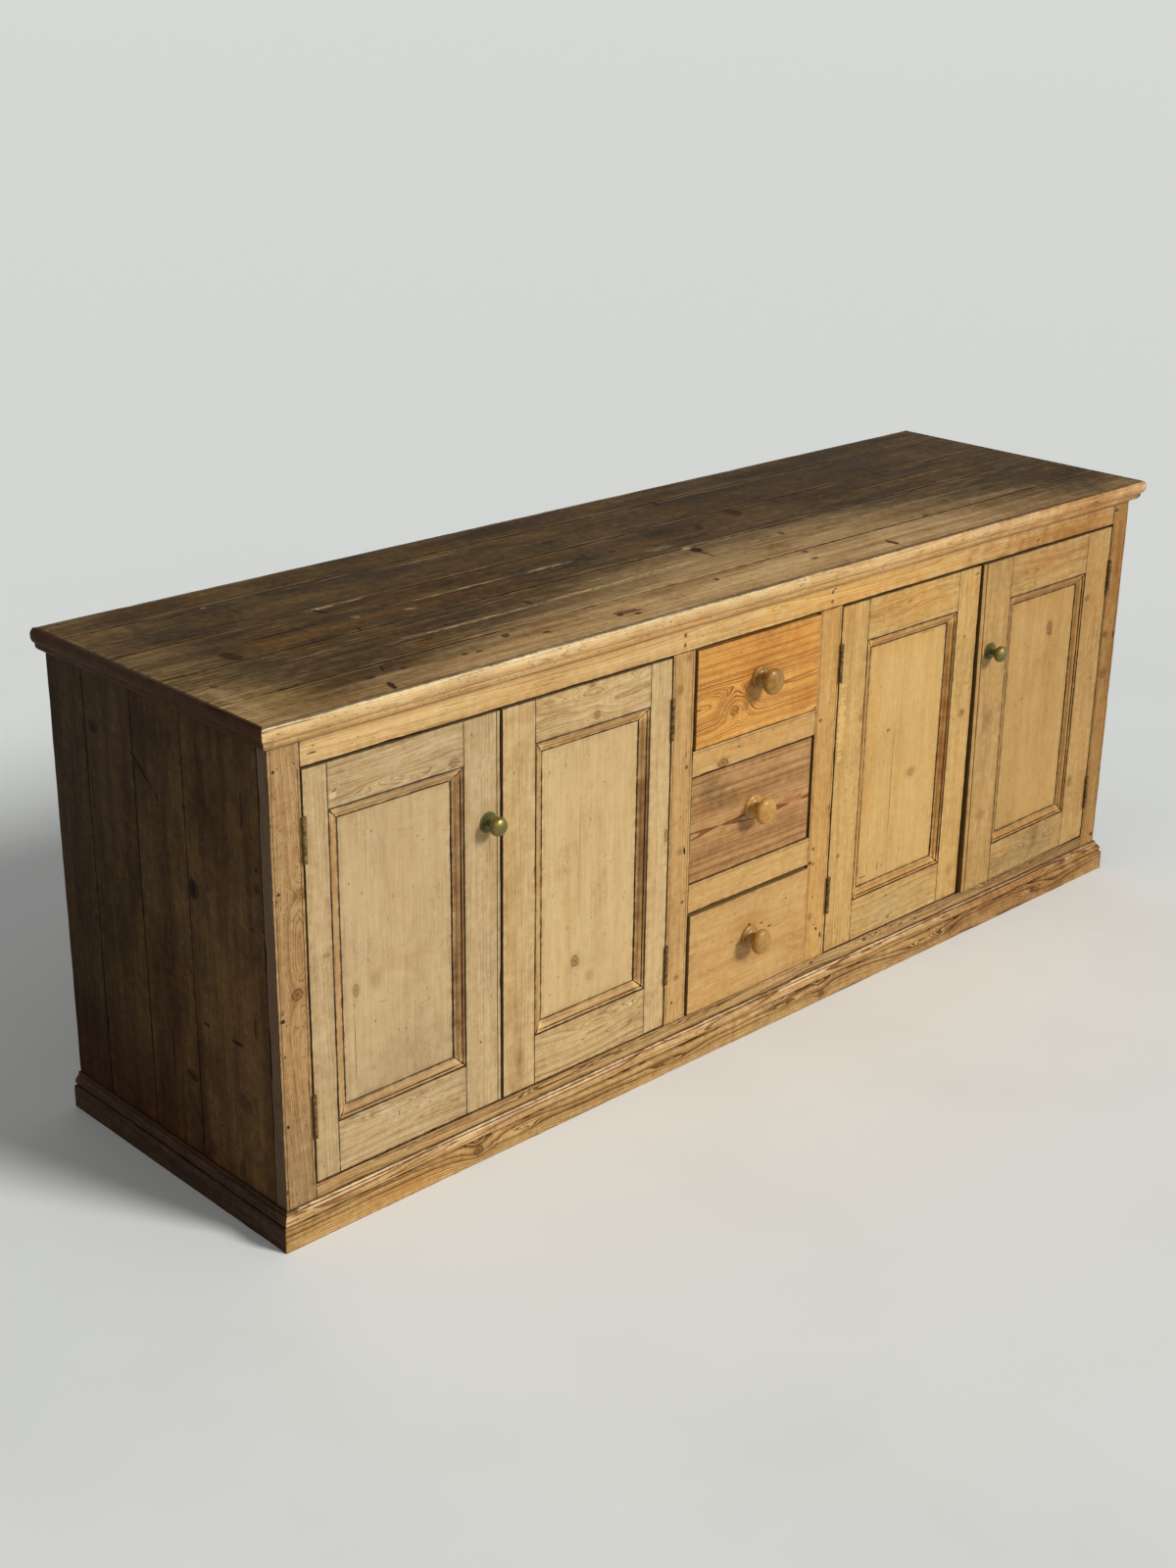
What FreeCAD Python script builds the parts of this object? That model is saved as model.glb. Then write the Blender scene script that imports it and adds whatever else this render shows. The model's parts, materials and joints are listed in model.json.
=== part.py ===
"""Long pine sideboard: four panelled doors in two pairs, with three drawers between them.

Millimetres. X runs along the length to the right, Y runs from front to back and Z is up.
The origin is the middle of the footprint, on the floor. All pieces are made in place.
"""
import FreeCAD, Part
import math
import os

V = FreeCAD.Vector

# Overall sizes
carcass_depth = 620
cutter_overrun = 1

# Face frame, from left to right
left_stile_width = 60
left_cupboard_width = 799
left_muntin_width = 55
drawer_bay_width = 334
right_muntin_width = 62
right_cupboard_width = 886
right_stile_width = 54

# Face frame, from the floor up
bottom_rail_foot = 20
bottom_rail_top = 92
lower_opening_height = 211.5
lower_rail_height = 57.5
middle_opening_height = 210
upper_rail_height = 51
upper_opening_height = 192
top_rail_height = 61

# Face frame joints
frame_thickness = 26
frame_tenon_length = 36
frame_tenon_thickness = 8
frame_tenon_shoulder = 6
peg_radius = 4
peg_inset = 15
peg_spacing = 18
bead_width = 5
bead_quirk_width = 1.2
bead_quirk_depth = 2

# Top and its edge moulding
top_thickness = 25
top_overhang = 14
top_back_overhang = 4
top_board_shares = [0.182, 0.240, 0.224, 0.218]
nosing_height = 42
nosing_projection = 23
# Corner, or middle and end of an arc: shares of the projection and of the height, from the top
nosing_top_share = 0.76
nosing_outline_shares = [
    ((0.95, 0.11), (1.00, 0.29)),
    ((0.95, 0.47), (0.75, 0.62)),
    ((0.68, 0.63),),
    ((0.56, 0.88), (0.10, 0.96)),
    ((0.00, 1.00),),
]

# Carcass boards
side_thickness = 20
side_board_shares = [0.342, 0.237, 0.239]
back_thickness = 14
back_board_count = 14
floor_thickness = 20
floor_stop_height = 8
floor_board_count = 4
partition_thickness = 20
partition_board_count = 2

# Shelves and the battens that carry the shelves and the floor
shelf_thickness = 18
shelf_rise = 370
shelf_setback = 60
shelf_board_count = 2
batten_width = 20
batten_height = 26

# Plinth and base moulding
plinth_height = 43
plinth_thickness = 15
plinth_round = 4
base_moulding_height = 24
base_moulding_projection = 12
base_moulding_bottom_share = 0.80
base_moulding_outline_shares = [
    ((1.00, 0.20), (0.86, 0.45)),
    ((0.60, 0.62), (0.45, 0.70)),
    ((0.30, 0.72),),
    ((0.30, 0.90), (0.20, 1.00)),
    ((0.00, 1.00),),
]

# Doors
hinge_gap = 2
meeting_gap = 5
door_top_gap = 4
door_bottom_gap = 2.5
door_stop_gap = 0.4
door_1_width = 396
door_3_width = 425
door_tenon_length = 38
door_groove_depth = 8
panel_thickness = 8
panel_face_depth = 9
panel_moulding_width = 22
panel_moulding_recess = 1.5
# Corner, or middle and end of an arc: shares of the width and of the fall to the panel
panel_moulding_shares = [
    ((0.00, 0.00), None),
    ((0.10, -0.12), (0.24, 0.02)),
    ((0.27, 0.30), None),
    ((0.45, 0.30), (0.62, 0.62)),
    ((0.80, 0.90), (0.88, 0.92)),
    ((1.00, 0.92), None),
    ((1.00, 1.00), None),
]
door_1_bead_width = 6.5
door_1_quirk_width = 2
door_4_bead_width = 11.5
door_4_quirk_width = 3
# Left stile, right stile, top rail and bottom rail of each door
door_1_members = {"left": 47, "right": 78, "top": 77.5, "bottom": 94}
door_2_members = {"left": 73, "right": 52, "top": 77.5, "bottom": 94.5}
door_3_members = {"left": 79, "right": 68, "top": 82, "bottom": 88.5}
door_4_members = {"left": 99, "right": 84, "top": 87.5, "bottom": 83.5}
# The last door hangs a little open, as old doors do
door_4_rest_angle = 0.7

# Butt hinges
hinge_length = 76
hinge_leaf_width = 22
hinge_leaf_thickness = 1.8
hinge_leaf_gap = 0.3
hinge_barrel_radius = 3.5
hinge_pin_radius = 1.6
hinge_running_clearance = 0.08
hinge_knuckle_gap = 0.3
hinge_knuckle_count = 5
hinge_barrel_standoff = 0.3
hinge_pin_head_height = 1.2
# From the door's foot to its lower hinge, and from its upper hinge to its top
hinge_insets = [(84.5, 76), (85.5, 76), (87.5, 73), (67.5, 75)]
hinge_screw_count = 3
hinge_screw_radius = 1.8
hinge_screw_head_radius = 3.4
hinge_screw_length = 16
hinge_screw_inset = 13

# Brass turn latches on the first and last doors
latch_drop = 188
latch_1_edge_distance = 27
latch_4_edge_distance = 40
latch_rose_radius = 18
latch_rose_thickness = 5
latch_rose_lip_share = 0.72
latch_running_gap = 0.3
latch_knob_radius = 16.5
latch_knob_depth = 22
latch_knob_centre = 26
latch_knob_shoulder_share = 0.72
latch_knob_shoulder_height_share = 0.74
latch_knob_bulge_share = 0.92
latch_knob_bulge_height_share = 0.45
latch_neck_radius = 6.5
latch_spindle_radius = 4
latch_spindle_clearance = 0.08
latch_bush_radius = 8
latch_1_bush_length = 1.5
latch_4_bush_length = 8
latch_tongue_lap = 14
latch_tongue_width = 14
latch_tongue_thickness = 4
latch_rivet_length = 3

# Sliding bolts on the backs of the two inner doors
bolt_plate_width = 20
bolt_plate_height = 62
bolt_plate_thickness = 1.6
bolt_plate_drop = 8
bolt_radius = 3
bolt_clearance = 0.06
bolt_throw = 14
bolt_top_drop = 3
bolt_length = 62
bolt_loop_width = 12
bolt_loop_depth = 10
bolt_loop_height = 8
bolt_loop_margin = 4
bolt_handle_gap = 0.4
bolt_handle_radius = 2.6
bolt_handle_length = 9
bolt_keep_cover = 4
bolt_keep_rise = 3
bolt_keep_clearance = 0.5

# Drawers
drawer_bottom_gap = 1.5
drawer_front_thickness = 20
drawer_side_thickness = 12
drawer_rear_space = 46
drawer_running_gap = 0.3
drawer_side_drop = 10
drawer_panel_thickness = 7
drawer_panel_rise = 6
drawer_panel_groove = 5
drawer_stop_gap = 0.3
drawer_stop_width = 40
drawer_stop_height = 30
runner_ledge = 24
guide_height = 30
# From the top drawer down: how far each front stands out, and the gaps round it
drawer_stands = [3, -1.5, 3]
drawer_top_gaps = [4, 2, 6]
drawer_left_gaps = [4, 1, 4]
drawer_right_gaps = [1, 5.5, 1]

# Turned wooden drawer knobs
knob_rises = [8, 5, 10]
knob_shift = 2
knob_projection = 45
knob_dowel_radius = 8
knob_base_radius = 23
knob_base_thickness = 6
knob_base_edge_share = 0.5
knob_base_top_share = 0.86
knob_neck_radius = 10
knob_neck_middle_share = 0.5
knob_cap_radius = 25
knob_cap_thickness = 20
knob_cap_back_share = 0.72
knob_cap_bulge_share = 0.94
knob_cap_bulge_height_share = 0.13
knob_cap_edge_share = 0.38
knob_cap_shoulder_share = 0.80
knob_cap_shoulder_height_share = 0.76
knob_cap_round_share = 0.95
knob_cap_round_height_share = 0.59

# Places worked out from the sizes
frame_widths = [
    left_stile_width, left_cupboard_width, left_muntin_width, drawer_bay_width,
    right_muntin_width, right_cupboard_width, right_stile_width,
]
carcass_length = sum(frame_widths)
x_edges = [-carcass_length / 2]
for width in frame_widths:
    x_edges.append(x_edges[-1] + width)
x_left, x_cup_1, x_muntin_1, x_bay_0, x_bay_1, x_cup_3, x_stile_4, x_right = x_edges

z_lower_top = bottom_rail_top + lower_opening_height
z_middle_floor = z_lower_top + lower_rail_height
z_middle_top = z_middle_floor + middle_opening_height
z_upper_floor = z_middle_top + upper_rail_height
z_opening_top = z_upper_floor + upper_opening_height
z_top_underside = z_opening_top + top_rail_height
overall_height = z_top_underside + top_thickness
z_door_foot = bottom_rail_top + door_bottom_gap
z_door_top = z_opening_top - door_top_gap
latch_height = z_door_top - latch_drop
drawer_depth = carcass_depth - back_thickness - drawer_rear_space

latch_reach = latch_knob_centre + latch_knob_depth / 2
ajar_reach = (right_cupboard_width - door_3_width) * math.sin(math.radians(door_4_rest_angle))
front_reach = max(knob_projection + max(drawer_stands), latch_reach + ajar_reach)
y_front = front_reach - (front_reach + carcass_depth + top_back_overhang) / 2
y_frame_back = y_front + frame_thickness
y_back = y_front + carcass_depth
y_back_boards = y_back - back_thickness
door_thickness = frame_thickness - door_stop_gap
y_door_back = y_front + door_thickness
y_frame_tenon = y_front + (frame_thickness - frame_tenon_thickness) / 2
y_door_tenon = y_front + (door_thickness - frame_tenon_thickness) / 2

z_floor = bottom_rail_top + floor_stop_height
x_partition_1 = (x_muntin_1 + x_bay_0 - partition_thickness) / 2
x_partition_2 = (x_bay_1 + x_cup_3 - partition_thickness) / 2
x_inside_left = x_left + side_thickness
x_inside_right = x_right - side_thickness

nodes = {}


def keep(name, solids):
    """Collect the solids of one node."""
    nodes.setdefault(name, []).extend(solids)


def block(x0, x1, y0, y1, z0, z1):
    """A plain board between two corners."""
    return Part.makeBox(x1 - x0, y1 - y0, z1 - z0, V(x0, y0, z0))


def rod(radius, length, foot, direction):
    """A round bar from its foot along a direction."""
    return Part.makeCylinder(radius, length, foot, direction)


def boards(start, stop, count):
    """Edges of boards of equal width between two places."""
    step = (stop - start) / count
    return [(start + i * step, start + (i + 1) * step) for i in range(count)]


def board_edges(start, stop, shares):
    """Edges of boards of stated shares of the span, with the rest in the last board."""
    edges = [start]
    for share in shares:
        edges.append(edges[-1] + share * (stop - start))
    edges.append(stop)
    return list(zip(edges[:-1], edges[1:]))


def prism(start, steps, direction):
    """A solid with one outline, from corners and arcs, drawn along a direction."""
    edges = []
    here = start
    for step in steps:
        if len(step) == 2:
            edges.append(Part.Arc(here, step[0], step[1]).toShape())
        else:
            edges.append(Part.LineSegment(here, step[0]).toShape())
        here = step[-1]
    edges.append(Part.LineSegment(here, start).toShape())
    return Part.Face(Part.Wire(edges)).extrude(direction)


def turned(points, foot, direction):
    """A turned solid from points of radius and height along its axis."""
    edges = []
    here = V(points[0][0], 0, points[0][1])
    start = here
    for step in points[1:]:
        if len(step) == 4:
            middle = V(step[0], 0, step[1])
            end = V(step[2], 0, step[3])
            edges.append(Part.Arc(here, middle, end).toShape())
        else:
            end = V(step[0], 0, step[1])
            edges.append(Part.LineSegment(here, end).toShape())
        here = end
    edges.append(Part.LineSegment(here, start).toShape())
    solid = Part.Face(Part.Wire(edges)).revolve(V(0, 0, 0), V(0, 0, 1), 360)
    turn = FreeCAD.Rotation(V(0, 0, 1), direction)
    solid.Placement = FreeCAD.Placement(foot, turn)
    return solid


def crown(rim_radius, rim_height, top):
    """The last arc of a turned solid: part of a ball with its centre on the axis."""
    rise = top - rim_height
    ball = (rim_radius ** 2 + rise ** 2) / (2 * rise)
    half_angle = math.asin(rim_radius / ball) / 2
    return (ball * math.sin(half_angle), top - ball * (1 - math.cos(half_angle)), 0, top)


def scribe(x0, x1, y0, y1, z0, z1, quirks):
    """A board with its bead quirks cut in the front face."""
    piece = block(x0, x1, y0, y1, z0, z1)
    for quirk in quirks:
        piece = piece.cut(quirk)
    return piece


def upright_quirk(edge, side, z0, z1, bead=bead_width, quirk=bead_quirk_width):
    """The groove beside a bead that runs up an edge; side is 1 when the wood lies to the right."""
    near = edge + side * bead
    far = near + side * quirk
    return block(min(near, far), max(near, far), y_front - cutter_overrun,
                 y_front + bead_quirk_depth, z0, z1)


def level_quirk(x0, x1, edge, side):
    """The groove beside a bead that runs along an edge; side is 1 when the wood lies above."""
    near = edge + side * bead_width
    far = near + side * bead_quirk_width
    return block(x0, x1, y_front - cutter_overrun, y_front + bead_quirk_depth,
                 min(near, far), max(near, far))


def mitred(outline, projection, y_end, z0, z1):
    """Front, left and right lengths of a moulding round the carcass, mitred at the front corners.

    outline is a list of corners and arcs in distance out from the face and height.
    """
    def section(place):
        start = place(*outline[0][0])
        steps = [tuple(place(*point) for point in step) for step in outline[1:]]
        return start, steps

    def plan(corners):
        wire = Part.makePolygon([V(x, y, z0) for x, y in corners + corners[:1]])
        return Part.Face(wire).extrude(V(0, 0, z1 - z0))

    x0 = x_left - projection
    x1 = x_right + projection
    y0 = y_front - projection
    start, steps = section(lambda out, height: V(x0, y_front - out, height))
    front = prism(start, steps, V(x1 - x0, 0, 0))
    front = front.common(plan([(x0, y0), (x1, y0), (x_right, y_front), (x_left, y_front)]))
    start, steps = section(lambda out, height: V(x_left - out, y0, height))
    left = prism(start, steps, V(0, y_end - y0, 0))
    left = left.common(plan([(x0, y0), (x_left, y_front), (x_left, y_end), (x0, y_end)]))
    start, steps = section(lambda out, height: V(x_right + out, y0, height))
    right = prism(start, steps, V(0, y_end - y0, 0))
    right = right.common(plan([(x1, y0), (x1, y_end), (x_right, y_end), (x_right, y_front)]))
    return [front, left, right]


def make_top():
    """Lengthwise boards, edged on the front and both ends with a mitred nosing."""
    x0 = x_left - top_overhang
    x1 = x_right + top_overhang
    y1 = y_back + top_back_overhang
    rows = board_edges(y_front - top_overhang, y1, top_board_shares)
    keep("top_boards", [block(x0, x1, a, b, z_top_underside, overall_height) for a, b in rows])
    outline = [
        ((top_overhang, overall_height),),
        ((nosing_projection * nosing_top_share, overall_height),),
    ]
    for step in nosing_outline_shares:
        outline.append(tuple((nosing_projection * out, overall_height - nosing_height * drop)
                             for out, drop in step))
    outline.append(((0, z_top_underside),))
    outline.append(((top_overhang, z_top_underside),))
    keep("top_nosing", mitred(outline, nosing_projection, y1,
                              overall_height - nosing_height, overall_height))


def make_base():
    """Plinth boards with a softened top edge, and the moulding that stands on them."""
    flat = plinth_height - plinth_round
    round_middle = plinth_round * (1 - math.sqrt(1 / 2))
    outline = [
        ((0, 0),),
        ((plinth_thickness, 0),),
        ((plinth_thickness, flat),),
        ((plinth_thickness - round_middle, plinth_height - round_middle),
         (plinth_thickness - plinth_round, plinth_height)),
        ((0, plinth_height),),
    ]
    keep("plinth_boards", mitred(outline, plinth_thickness, y_back, 0, plinth_height))
    outline = [
        ((0, plinth_height),),
        ((base_moulding_projection * base_moulding_bottom_share, plinth_height),),
    ]
    for step in base_moulding_outline_shares:
        outline.append(tuple((base_moulding_projection * out,
                              plinth_height + base_moulding_height * rise)
                             for out, rise in step))
    keep("base_moulding", mitred(outline, base_moulding_projection, y_back,
                                 plinth_height, plinth_height + base_moulding_height))


def frame_tenon(x0, x1, z0, z1):
    """A tenon in the middle of the frame's thickness."""
    return block(x0, x1, y_frame_tenon, y_frame_tenon + frame_tenon_thickness, z0, z1)


def make_face_frame():
    """Stiles, muntins and rails, mortised and tenoned, with a bead round the openings and pegs."""
    shoulder = frame_tenon_shoulder
    length = frame_tenon_length
    top_rail_middle = (z_opening_top + overall_height - nosing_height) / 2
    peg_places = []
    for x in ((x_muntin_1 + x_bay_0) / 2, (x_bay_1 + x_cup_3) / 2):
        peg_places += [(x, top_rail_middle - peg_spacing / 2), (x, top_rail_middle + peg_spacing / 2)]
    for z in (z_lower_top + lower_rail_height / 2, z_middle_top + upper_rail_height / 2):
        peg_places += [(x_bay_0 - peg_inset, z), (x_bay_1 + peg_inset, z)]
    pegs = [rod(peg_radius, frame_thickness, V(x, y_front, z), V(0, 1, 0)) for x, z in peg_places]

    top_tenons = [
        frame_tenon(x_cup_1 - length, x_cup_1, z_opening_top + shoulder, z_top_underside - shoulder),
        frame_tenon(x_stile_4, x_stile_4 + length, z_opening_top + shoulder,
                    z_top_underside - shoulder),
    ]
    foot_tenons = [
        frame_tenon(x_cup_1 - length, x_cup_1, bottom_rail_foot + shoulder,
                    bottom_rail_top - shoulder),
        frame_tenon(x_stile_4, x_stile_4 + length, bottom_rail_foot + shoulder,
                    bottom_rail_top - shoulder),
    ]
    muntin_tenons = []
    for x0, x1 in ((x_muntin_1, x_bay_0), (x_bay_1, x_cup_3)):
        muntin_tenons.append([
            frame_tenon(x0 + shoulder, x1 - shoulder, z_opening_top, z_opening_top + length),
            frame_tenon(x0 + shoulder, x1 - shoulder, bottom_rail_top - length, bottom_rail_top),
        ])
    rail_tenons = {}
    for z0, z1 in ((z_lower_top, z_middle_floor), (z_middle_top, z_upper_floor)):
        rail_tenons[z0] = [
            frame_tenon(x_bay_0 - length, x_bay_0, z0 + shoulder, z1 - shoulder),
            frame_tenon(x_bay_1, x_bay_1 + length, z0 + shoulder, z1 - shoulder),
        ]

    def finish(piece, tenons, mortises):
        for tenon in tenons:
            piece = piece.fuse(tenon)
        for mortise in mortises:
            piece = piece.cut(mortise)
        for peg in pegs:
            piece = piece.cut(peg)
        return [piece.removeSplitter()]

    y0, y1 = y_front, y_frame_back
    outer = [upright_quirk(x_left, 1, 0, z_top_underside),
             upright_quirk(x_cup_1, -1, bottom_rail_top, z_opening_top)]
    stile = scribe(x_left, x_cup_1, y0, y1, 0, z_top_underside, outer)
    keep("corner_stile_left", finish(stile, [], [top_tenons[0], foot_tenons[0]]))
    outer = [upright_quirk(x_right, -1, 0, z_top_underside),
             upright_quirk(x_stile_4, 1, bottom_rail_top, z_opening_top)]
    stile = scribe(x_stile_4, x_right, y0, y1, 0, z_top_underside, outer)
    keep("corner_stile_right", finish(stile, [], [top_tenons[1], foot_tenons[1]]))

    rail = block(x_cup_1, x_stile_4, y0, y1, z_opening_top, z_top_underside)
    keep("top_rail", finish(rail, top_tenons, [pair[0] for pair in muntin_tenons]))
    quirk = [level_quirk(x_cup_1, x_stile_4, bottom_rail_top, -1)]
    rail = scribe(x_cup_1, x_stile_4, y0, y1, bottom_rail_foot, bottom_rail_top, quirk)
    keep("bottom_rail", finish(rail, foot_tenons, [pair[1] for pair in muntin_tenons]))

    uprights = (("muntin_left", x_muntin_1, x_bay_0, muntin_tenons[0], 0),
                ("muntin_right", x_bay_1, x_cup_3, muntin_tenons[1], 1))
    for name, x0, x1, tenons, side in uprights:
        quirks = [upright_quirk(x0, 1, bottom_rail_top, z_opening_top),
                  upright_quirk(x1, -1, bottom_rail_top, z_opening_top)]
        post = scribe(x0, x1, y0, y1, bottom_rail_top, z_opening_top, quirks)
        mortises = [pair[side] for pair in rail_tenons.values()]
        keep(name, finish(post, tenons, mortises))
    for z0, z1 in ((z_lower_top, z_middle_floor), (z_middle_top, z_upper_floor)):
        quirk = [level_quirk(x_bay_0, x_bay_1, z1, -1)]
        rail = scribe(x_bay_0, x_bay_1, y0, y1, z0, z1, quirk)
        keep("drawer_rails", finish(rail, rail_tenons[z0], []))
    keep("frame_pegs", pegs)


def make_carcass():
    """Side, back, floor and partition boards."""
    rows = board_edges(y_frame_back, y_back, side_board_shares)
    for name, x0 in (("side_boards_left", x_left), ("side_boards_right", x_inside_right)):
        keep(name, [block(x0, x0 + side_thickness, a, b, 0, z_top_underside) for a, b in rows])
    columns = boards(x_inside_left, x_inside_right, back_board_count)
    foot = z_floor - floor_thickness - batten_height
    keep("back_boards", [block(a, b, y_back_boards, y_back, foot, z_top_underside)
                         for a, b in columns])
    rows = boards(y_frame_back, y_back_boards, floor_board_count)
    keep("floor_boards", [block(x_inside_left, x_inside_right, a, b, z_floor - floor_thickness, z_floor)
                          for a, b in rows])
    rows = boards(y_frame_back, y_back_boards, partition_board_count)
    for x0 in (x_partition_1, x_partition_2):
        keep("partition_boards", [block(x0, x0 + partition_thickness, a, b, z_floor, z_top_underside)
                                  for a, b in rows])


def make_shelves():
    """A shelf in each cupboard, and the battens under the shelves and the floor."""
    y0 = y_frame_back + shelf_setback
    shelf_top = z_floor + shelf_rise
    z1 = shelf_top - shelf_thickness
    z0 = z1 - batten_height
    cupboards = ((x_inside_left, x_partition_1),
                 (x_partition_2 + partition_thickness, x_inside_right))
    for x0, x1 in cupboards:
        rows = boards(y0, y_back_boards, shelf_board_count)
        keep("shelves", [block(x0, x1, a, b, z1, shelf_top) for a, b in rows])
        keep("battens", [
            block(x0, x0 + batten_width, y0, y_back_boards, z0, z1),
            block(x1 - batten_width, x1, y0, y_back_boards, z0, z1),
            block(x0 + batten_width, x1 - batten_width, y_back_boards - batten_width,
                  y_back_boards, z0, z1),
        ])
    z1 = z_floor - floor_thickness
    z0 = z1 - batten_height
    x0, x1 = x_inside_left, x_inside_right
    keep("battens", [
        block(x0, x1, y_frame_back, y_frame_back + batten_width, z0, z1),
        block(x0, x1, y_back_boards - batten_width, y_back_boards, z0, z1),
        block(x0, x0 + batten_width, y_frame_back + batten_width, y_back_boards - batten_width, z0, z1),
        block(x1 - batten_width, x1, y_frame_back + batten_width, y_back_boards - batten_width, z0, z1),
    ])


def hinge_screws(face_x, side, y, z_centre):
    """Countersunk screws through one leaf; side is 1 when they are driven to the right."""
    spacing = (hinge_length - 2 * hinge_screw_inset) / (hinge_screw_count - 1)
    screws = []
    for i in range(hinge_screw_count):
        z = z_centre - hinge_length / 2 + hinge_screw_inset + i * spacing
        foot = V(face_x, y, z)
        way = V(side, 0, 0)
        head = Part.makeCone(hinge_screw_head_radius, hinge_screw_radius, hinge_leaf_thickness,
                             foot, way)
        shank = rod(hinge_screw_radius, hinge_screw_length, foot, way)
        screws.append(head.fuse(shank).removeSplitter())
    return screws


def hinge_leaf(axis_x, side, z_centre, knuckles):
    """One leaf with its knuckles; side is 1 when the leaf lies to the right of the pin."""
    y_axis = y_front - hinge_barrel_radius - hinge_barrel_standoff
    z0 = z_centre - hinge_length / 2
    near = axis_x + side * hinge_leaf_gap / 2
    far = near + side * hinge_leaf_thickness
    left, right = min(near, far), max(near, far)
    leaf = block(left, right, y_front, y_front + hinge_leaf_width, z0, z0 + hinge_length)
    step = hinge_length / hinge_knuckle_count
    for i in knuckles:
        low = z0 + i * step + hinge_knuckle_gap / 2
        high = z0 + (i + 1) * step - hinge_knuckle_gap / 2
        barrel = rod(hinge_barrel_radius, high - low, V(axis_x, y_axis, low), V(0, 0, 1))
        tab = block(left, right, y_axis, y_front, low, high)
        leaf = leaf.fuse(barrel).fuse(tab)
    return leaf.removeSplitter()


def make_hinges(axis_x, side, centres):
    """The two hinges of a door. Returns the door's solids and the cutters for both woods."""
    y_axis = y_front - hinge_barrel_radius - hinge_barrel_standoff
    y_screw = y_front + hinge_leaf_width / 2
    door_solids, door_cutters, frame_cutters = [], [], []
    for z in centres:
        bore = rod(hinge_pin_radius + hinge_running_clearance, hinge_length,
                   V(axis_x, y_axis, z - hinge_length / 2), V(0, 0, 1))
        pin = rod(hinge_pin_radius, hinge_length, V(axis_x, y_axis, z - hinge_length / 2), V(0, 0, 1))
        head = rod(hinge_barrel_radius, hinge_pin_head_height,
                   V(axis_x, y_axis, z + hinge_length / 2), V(0, 0, 1))
        keep("hinge_pins", [pin.fuse(head).removeSplitter()])
        frame_knuckles = range(0, hinge_knuckle_count, 2)
        door_knuckles = range(1, hinge_knuckle_count, 2)
        frame_leaf = hinge_leaf(axis_x, -side, z, frame_knuckles).cut(pin)
        door_leaf = hinge_leaf(axis_x, side, z, door_knuckles).cut(bore)
        frame_face = axis_x - side * hinge_leaf_gap / 2
        door_face = axis_x + side * hinge_leaf_gap / 2
        frame_screws = hinge_screws(frame_face, -side, y_screw, z)
        door_screws = hinge_screws(door_face, side, y_screw, z)
        frame_cutters += [frame_leaf] + frame_screws
        door_cutters += [door_leaf] + door_screws
        for screw in frame_screws:
            frame_leaf = frame_leaf.cut(screw)
        for screw in door_screws:
            door_leaf = door_leaf.cut(screw)
        keep("hinge_frame_leaves", [frame_leaf] + frame_screws)
        door_solids += [door_leaf] + door_screws
    return door_solids, door_cutters, frame_cutters


def panel_moulding(x0, x1, z0, z1):
    """Four mitred lengths of ogee moulding that run round a panel opening."""
    fall = panel_face_depth - panel_moulding_recess
    y0 = y_front + panel_moulding_recess
    start_share = panel_moulding_shares[0][0]

    def length_along(place, direction):
        def at(share):
            return place(panel_moulding_width * share[0], y0 + fall * share[1])
        steps = []
        for middle, end in panel_moulding_shares[1:]:
            steps.append((at(middle),) if end is None else (at(middle), at(end)))
        steps.append((place(0, y_front + panel_face_depth),))
        return prism(at(start_share), steps, direction)

    middle_x = (x0 + x1) / 2
    middle_z = (z0 + z1) / 2
    inset = panel_moulding_width
    across = V(x1 - x0, 0, 0)
    up = V(0, 0, z1 - z0)
    lengths = [
        (length_along(lambda u, y: V(x0, y, z1 - u), across),
         [(x0, z1), (x1, z1), (x1 - inset, z1 - inset), (middle_x, z1 - inset), (x0 + inset, z1 - inset)]),
        (length_along(lambda u, y: V(x0, y, z0 + u), across),
         [(x0, z0), (x1, z0), (x1 - inset, z0 + inset), (middle_x, z0 + inset), (x0 + inset, z0 + inset)]),
        (length_along(lambda u, y: V(x0 + u, y, z0), up),
         [(x0, z0), (x0, z1), (x0 + inset, z1 - inset), (x0 + inset, middle_z), (x0 + inset, z0 + inset)]),
        (length_along(lambda u, y: V(x1 - u, y, z0), up),
         [(x1, z0), (x1, z1), (x1 - inset, z1 - inset), (x1 - inset, middle_z), (x1 - inset, z0 + inset)]),
    ]
    solids = []
    for run, corners in lengths:
        wire = Part.makePolygon([V(x, y_front, z) for x, z in corners + corners[:1]])
        cutter = Part.Face(wire).extrude(V(0, panel_face_depth, 0))
        solids.append(run.common(cutter))
    return solids


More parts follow.
